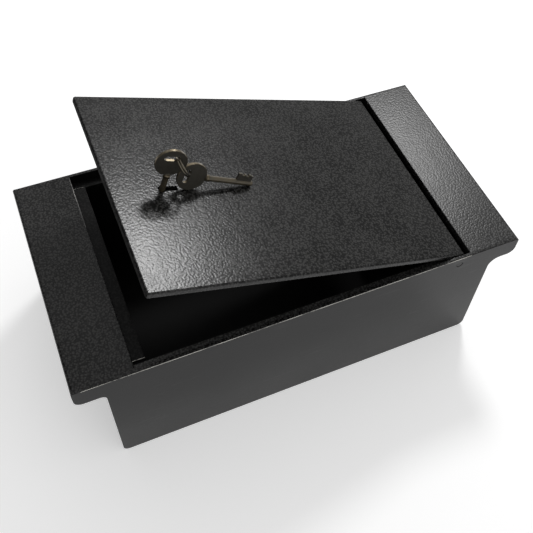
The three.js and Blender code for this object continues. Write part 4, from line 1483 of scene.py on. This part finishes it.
@dataclass
class Lock:
    """The lever lock under the lid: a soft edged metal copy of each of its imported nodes."""

    palette: Palette
    soft: float = 0.2
    named: dict[str, tuple[str, float]] = field(default_factory=lambda: {
        "lock_case": ("lock_tray", 0.3),
        "lock_cover": ("lock_cover_plate", 0.3),
        "hard_plate": ("hard_guard_plate", 0.25),
        "lock_bolt": ("bolt_and_tail", 0.3),
        "lever_spring": ("comb_spring", 0.06),
        "key_barrel": ("slit_key_barrel", 0.2),
    })

    def build(self) -> None:
        """Makes a piece for each node that nothing stands for yet."""
        record = frame["record"]
        slots = {part["node"]: Slot(part["material_slot"]) for part in record["subparts"]}
        for body, nodes in record["behaviour"]["bodies"].items():
            for node in nodes:
                if not frame["nodes"][node].hide_render:
                    piece = self._soft_copy(node)
                    piece.wear(self.palette.lock_metals[slots[node]])
                    piece.hand_over(body, slots[node], node)

    def _soft_copy(self, node: str) -> Piece:
        """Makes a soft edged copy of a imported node, under its own name.

        Args:
            node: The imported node's name.

        Returns:
            The copy.
        """
        name, width = self.named.get(node, (f"{node}_metal", self.soft))
        twin = Piece(frame["nodes"][node]).copy(name)
        with twin.editing("FACE"):
            bpy.ops.mesh.remove_doubles(threshold=DOUBLES)
            bpy.ops.mesh.dissolve_limited(angle_limit=FLAT_ANGLE)
        twin.soften(width)
        return twin


@dataclass(frozen=True)
class PhotoCamera:
    """The camera, where the safe is seen from, with its focal length and axis in pixels."""

    azimuth: float = -27.94
    elevation: float = 53.41
    roll_degrees: float = 5.43
    focal: float = 761.25
    frame_side: float = 533.0
    axis_column: float = 296.7
    axis_row: float = 237.2
    place: Point = (-167.6, -377.75, 657.96)
    sensor: float = 36.0
    clip_start: float = 0.01

    def build(self) -> None:
        """Adds the camera and makes it the scene's."""
        roll = math.radians(self.roll_degrees)
        back = direction(self.azimuth, self.elevation)
        level = Vector((0, 0, 1)).cross(back).normalized()
        upright = back.cross(level)
        right = level * math.cos(roll) + upright * math.sin(roll)
        up = upright * math.cos(roll) - level * math.sin(roll)
        data = bpy.data.cameras.new("photo_camera")
        data.sensor_width = self.sensor
        data.lens = self.focal / self.frame_side * self.sensor
        data.shift_x = (self.frame_side / 2 - self.axis_column) / self.frame_side
        data.shift_y = (self.axis_row - self.frame_side / 2) / self.frame_side
        data.clip_start = self.clip_start
        camera = bpy.data.objects.new("photo_camera", data)
        turn = Matrix((right, up, back)).transposed().to_4x4()
        camera.matrix_world = Matrix.Translation(Vector(self.place) * MM) @ turn
        bpy.context.scene.collection.objects.link(camera)
        bpy.context.scene.camera = camera


@dataclass(frozen=True)
class Studio:
    """A pale floor under soft light, with one lamp behind the right shoulder."""

    floor_side: float = 8.0
    floor_tone: float = 0.9
    floor_rough: float = 0.9
    floor_lift: float = 0.4
    sky: float = 0.75
    sky_dark: float = 0.25
    sky_rise: Span = (-0.6, 0.15)
    sky_fall: Span = (0.35, 0.8)
    sky_fall_share: float = 0.62
    lamp_azimuth: float = 137.0
    lamp_elevation: float = 50.5
    lamp_distance: float = 1.3
    lamp_side: float = 0.24
    lamp_power: float = 6.0

    def build(self) -> None:
        """Adds the floor, sky and lamp."""
        bpy.context.scene.view_settings.view_transform = "Standard"
        self._floor()
        self._sky()
        self._lamp()

    def _floor(self) -> None:
        """Lays the pale floor, which the camera and the reflections see a little lighter."""
        floor = Piece.add("studio_floor", bpy.ops.mesh.primitive_plane_add, size=self.floor_side)
        recipe = Recipe("pale_floor")
        path = recipe.add("ShaderNodeLightPath")
        camera, glossy, through = (
            Value(recipe, path.outputs[f"Is {kind} Ray"]) for kind in ("Camera", "Glossy", "Transmission")
        )
        seen = camera + glossy + through
        floor.wear(recipe.surface(
            Base_Color=(self.floor_tone,) * 3,
            Roughness=self.floor_rough,
            Specular_IOR_Level=0.0,
            Emission_Color=recipe.mix(seen, (0.0, 0.0, 0.0), (self.floor_lift,) * 3),
            Emission_Strength=1.0,
        ))

    def _sky(self) -> None:
        """Lights the scene softly from all round, with less from the left and low on the right."""
        recipe = Recipe("studio_sky", sky=True)
        side = recipe.along("X")
        share = side.ramp(*self.sky_rise) - side.ramp(*self.sky_fall) * self.sky_fall_share
        tone = recipe.mix(share, (self.sky * self.sky_dark,) * 3, (self.sky,) * 3)
        light = recipe.add("ShaderNodeBackground", {}, {"Color": tone})
        recipe.add("ShaderNodeOutputWorld", {}, {"Surface": light.outputs[0]})
        bpy.context.scene.world = recipe.holder

    def _lamp(self) -> None:
        """Hangs the soft lamp that gives the lid its shine."""
        toward = direction(self.lamp_azimuth, self.lamp_elevation)
        data = bpy.data.lights.new("soft_lamp", "AREA")
        data.shape = "DISK"
        data.size = self.lamp_side
        data.energy = self.lamp_power
        lamp = bpy.data.objects.new("soft_lamp", data)
        lamp.location = toward * self.lamp_distance
        lamp.rotation_euler = toward.to_track_quat("Z", "Y").to_euler()
        bpy.context.scene.collection.objects.link(lamp)


def main() -> None:
    """Builds the studio and the safe, sub-assembly by sub-assembly."""
    logging.basicConfig(level=logging.INFO, format="%(name)s: %(message)s")
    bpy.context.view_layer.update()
    PhotoCamera().build()
    Studio().build()
    palette = Palette()
    sizes = BoxSizes()
    plan = LidPlan(sizes)
    SafeBox(sizes, palette, plan.pivot_x, plan.pivot_z).build()
    Lid(plan, palette).build()
    KeySet(plan, palette).build()
    Lock(palette).build()


if __name__ == "__main__":
    main()
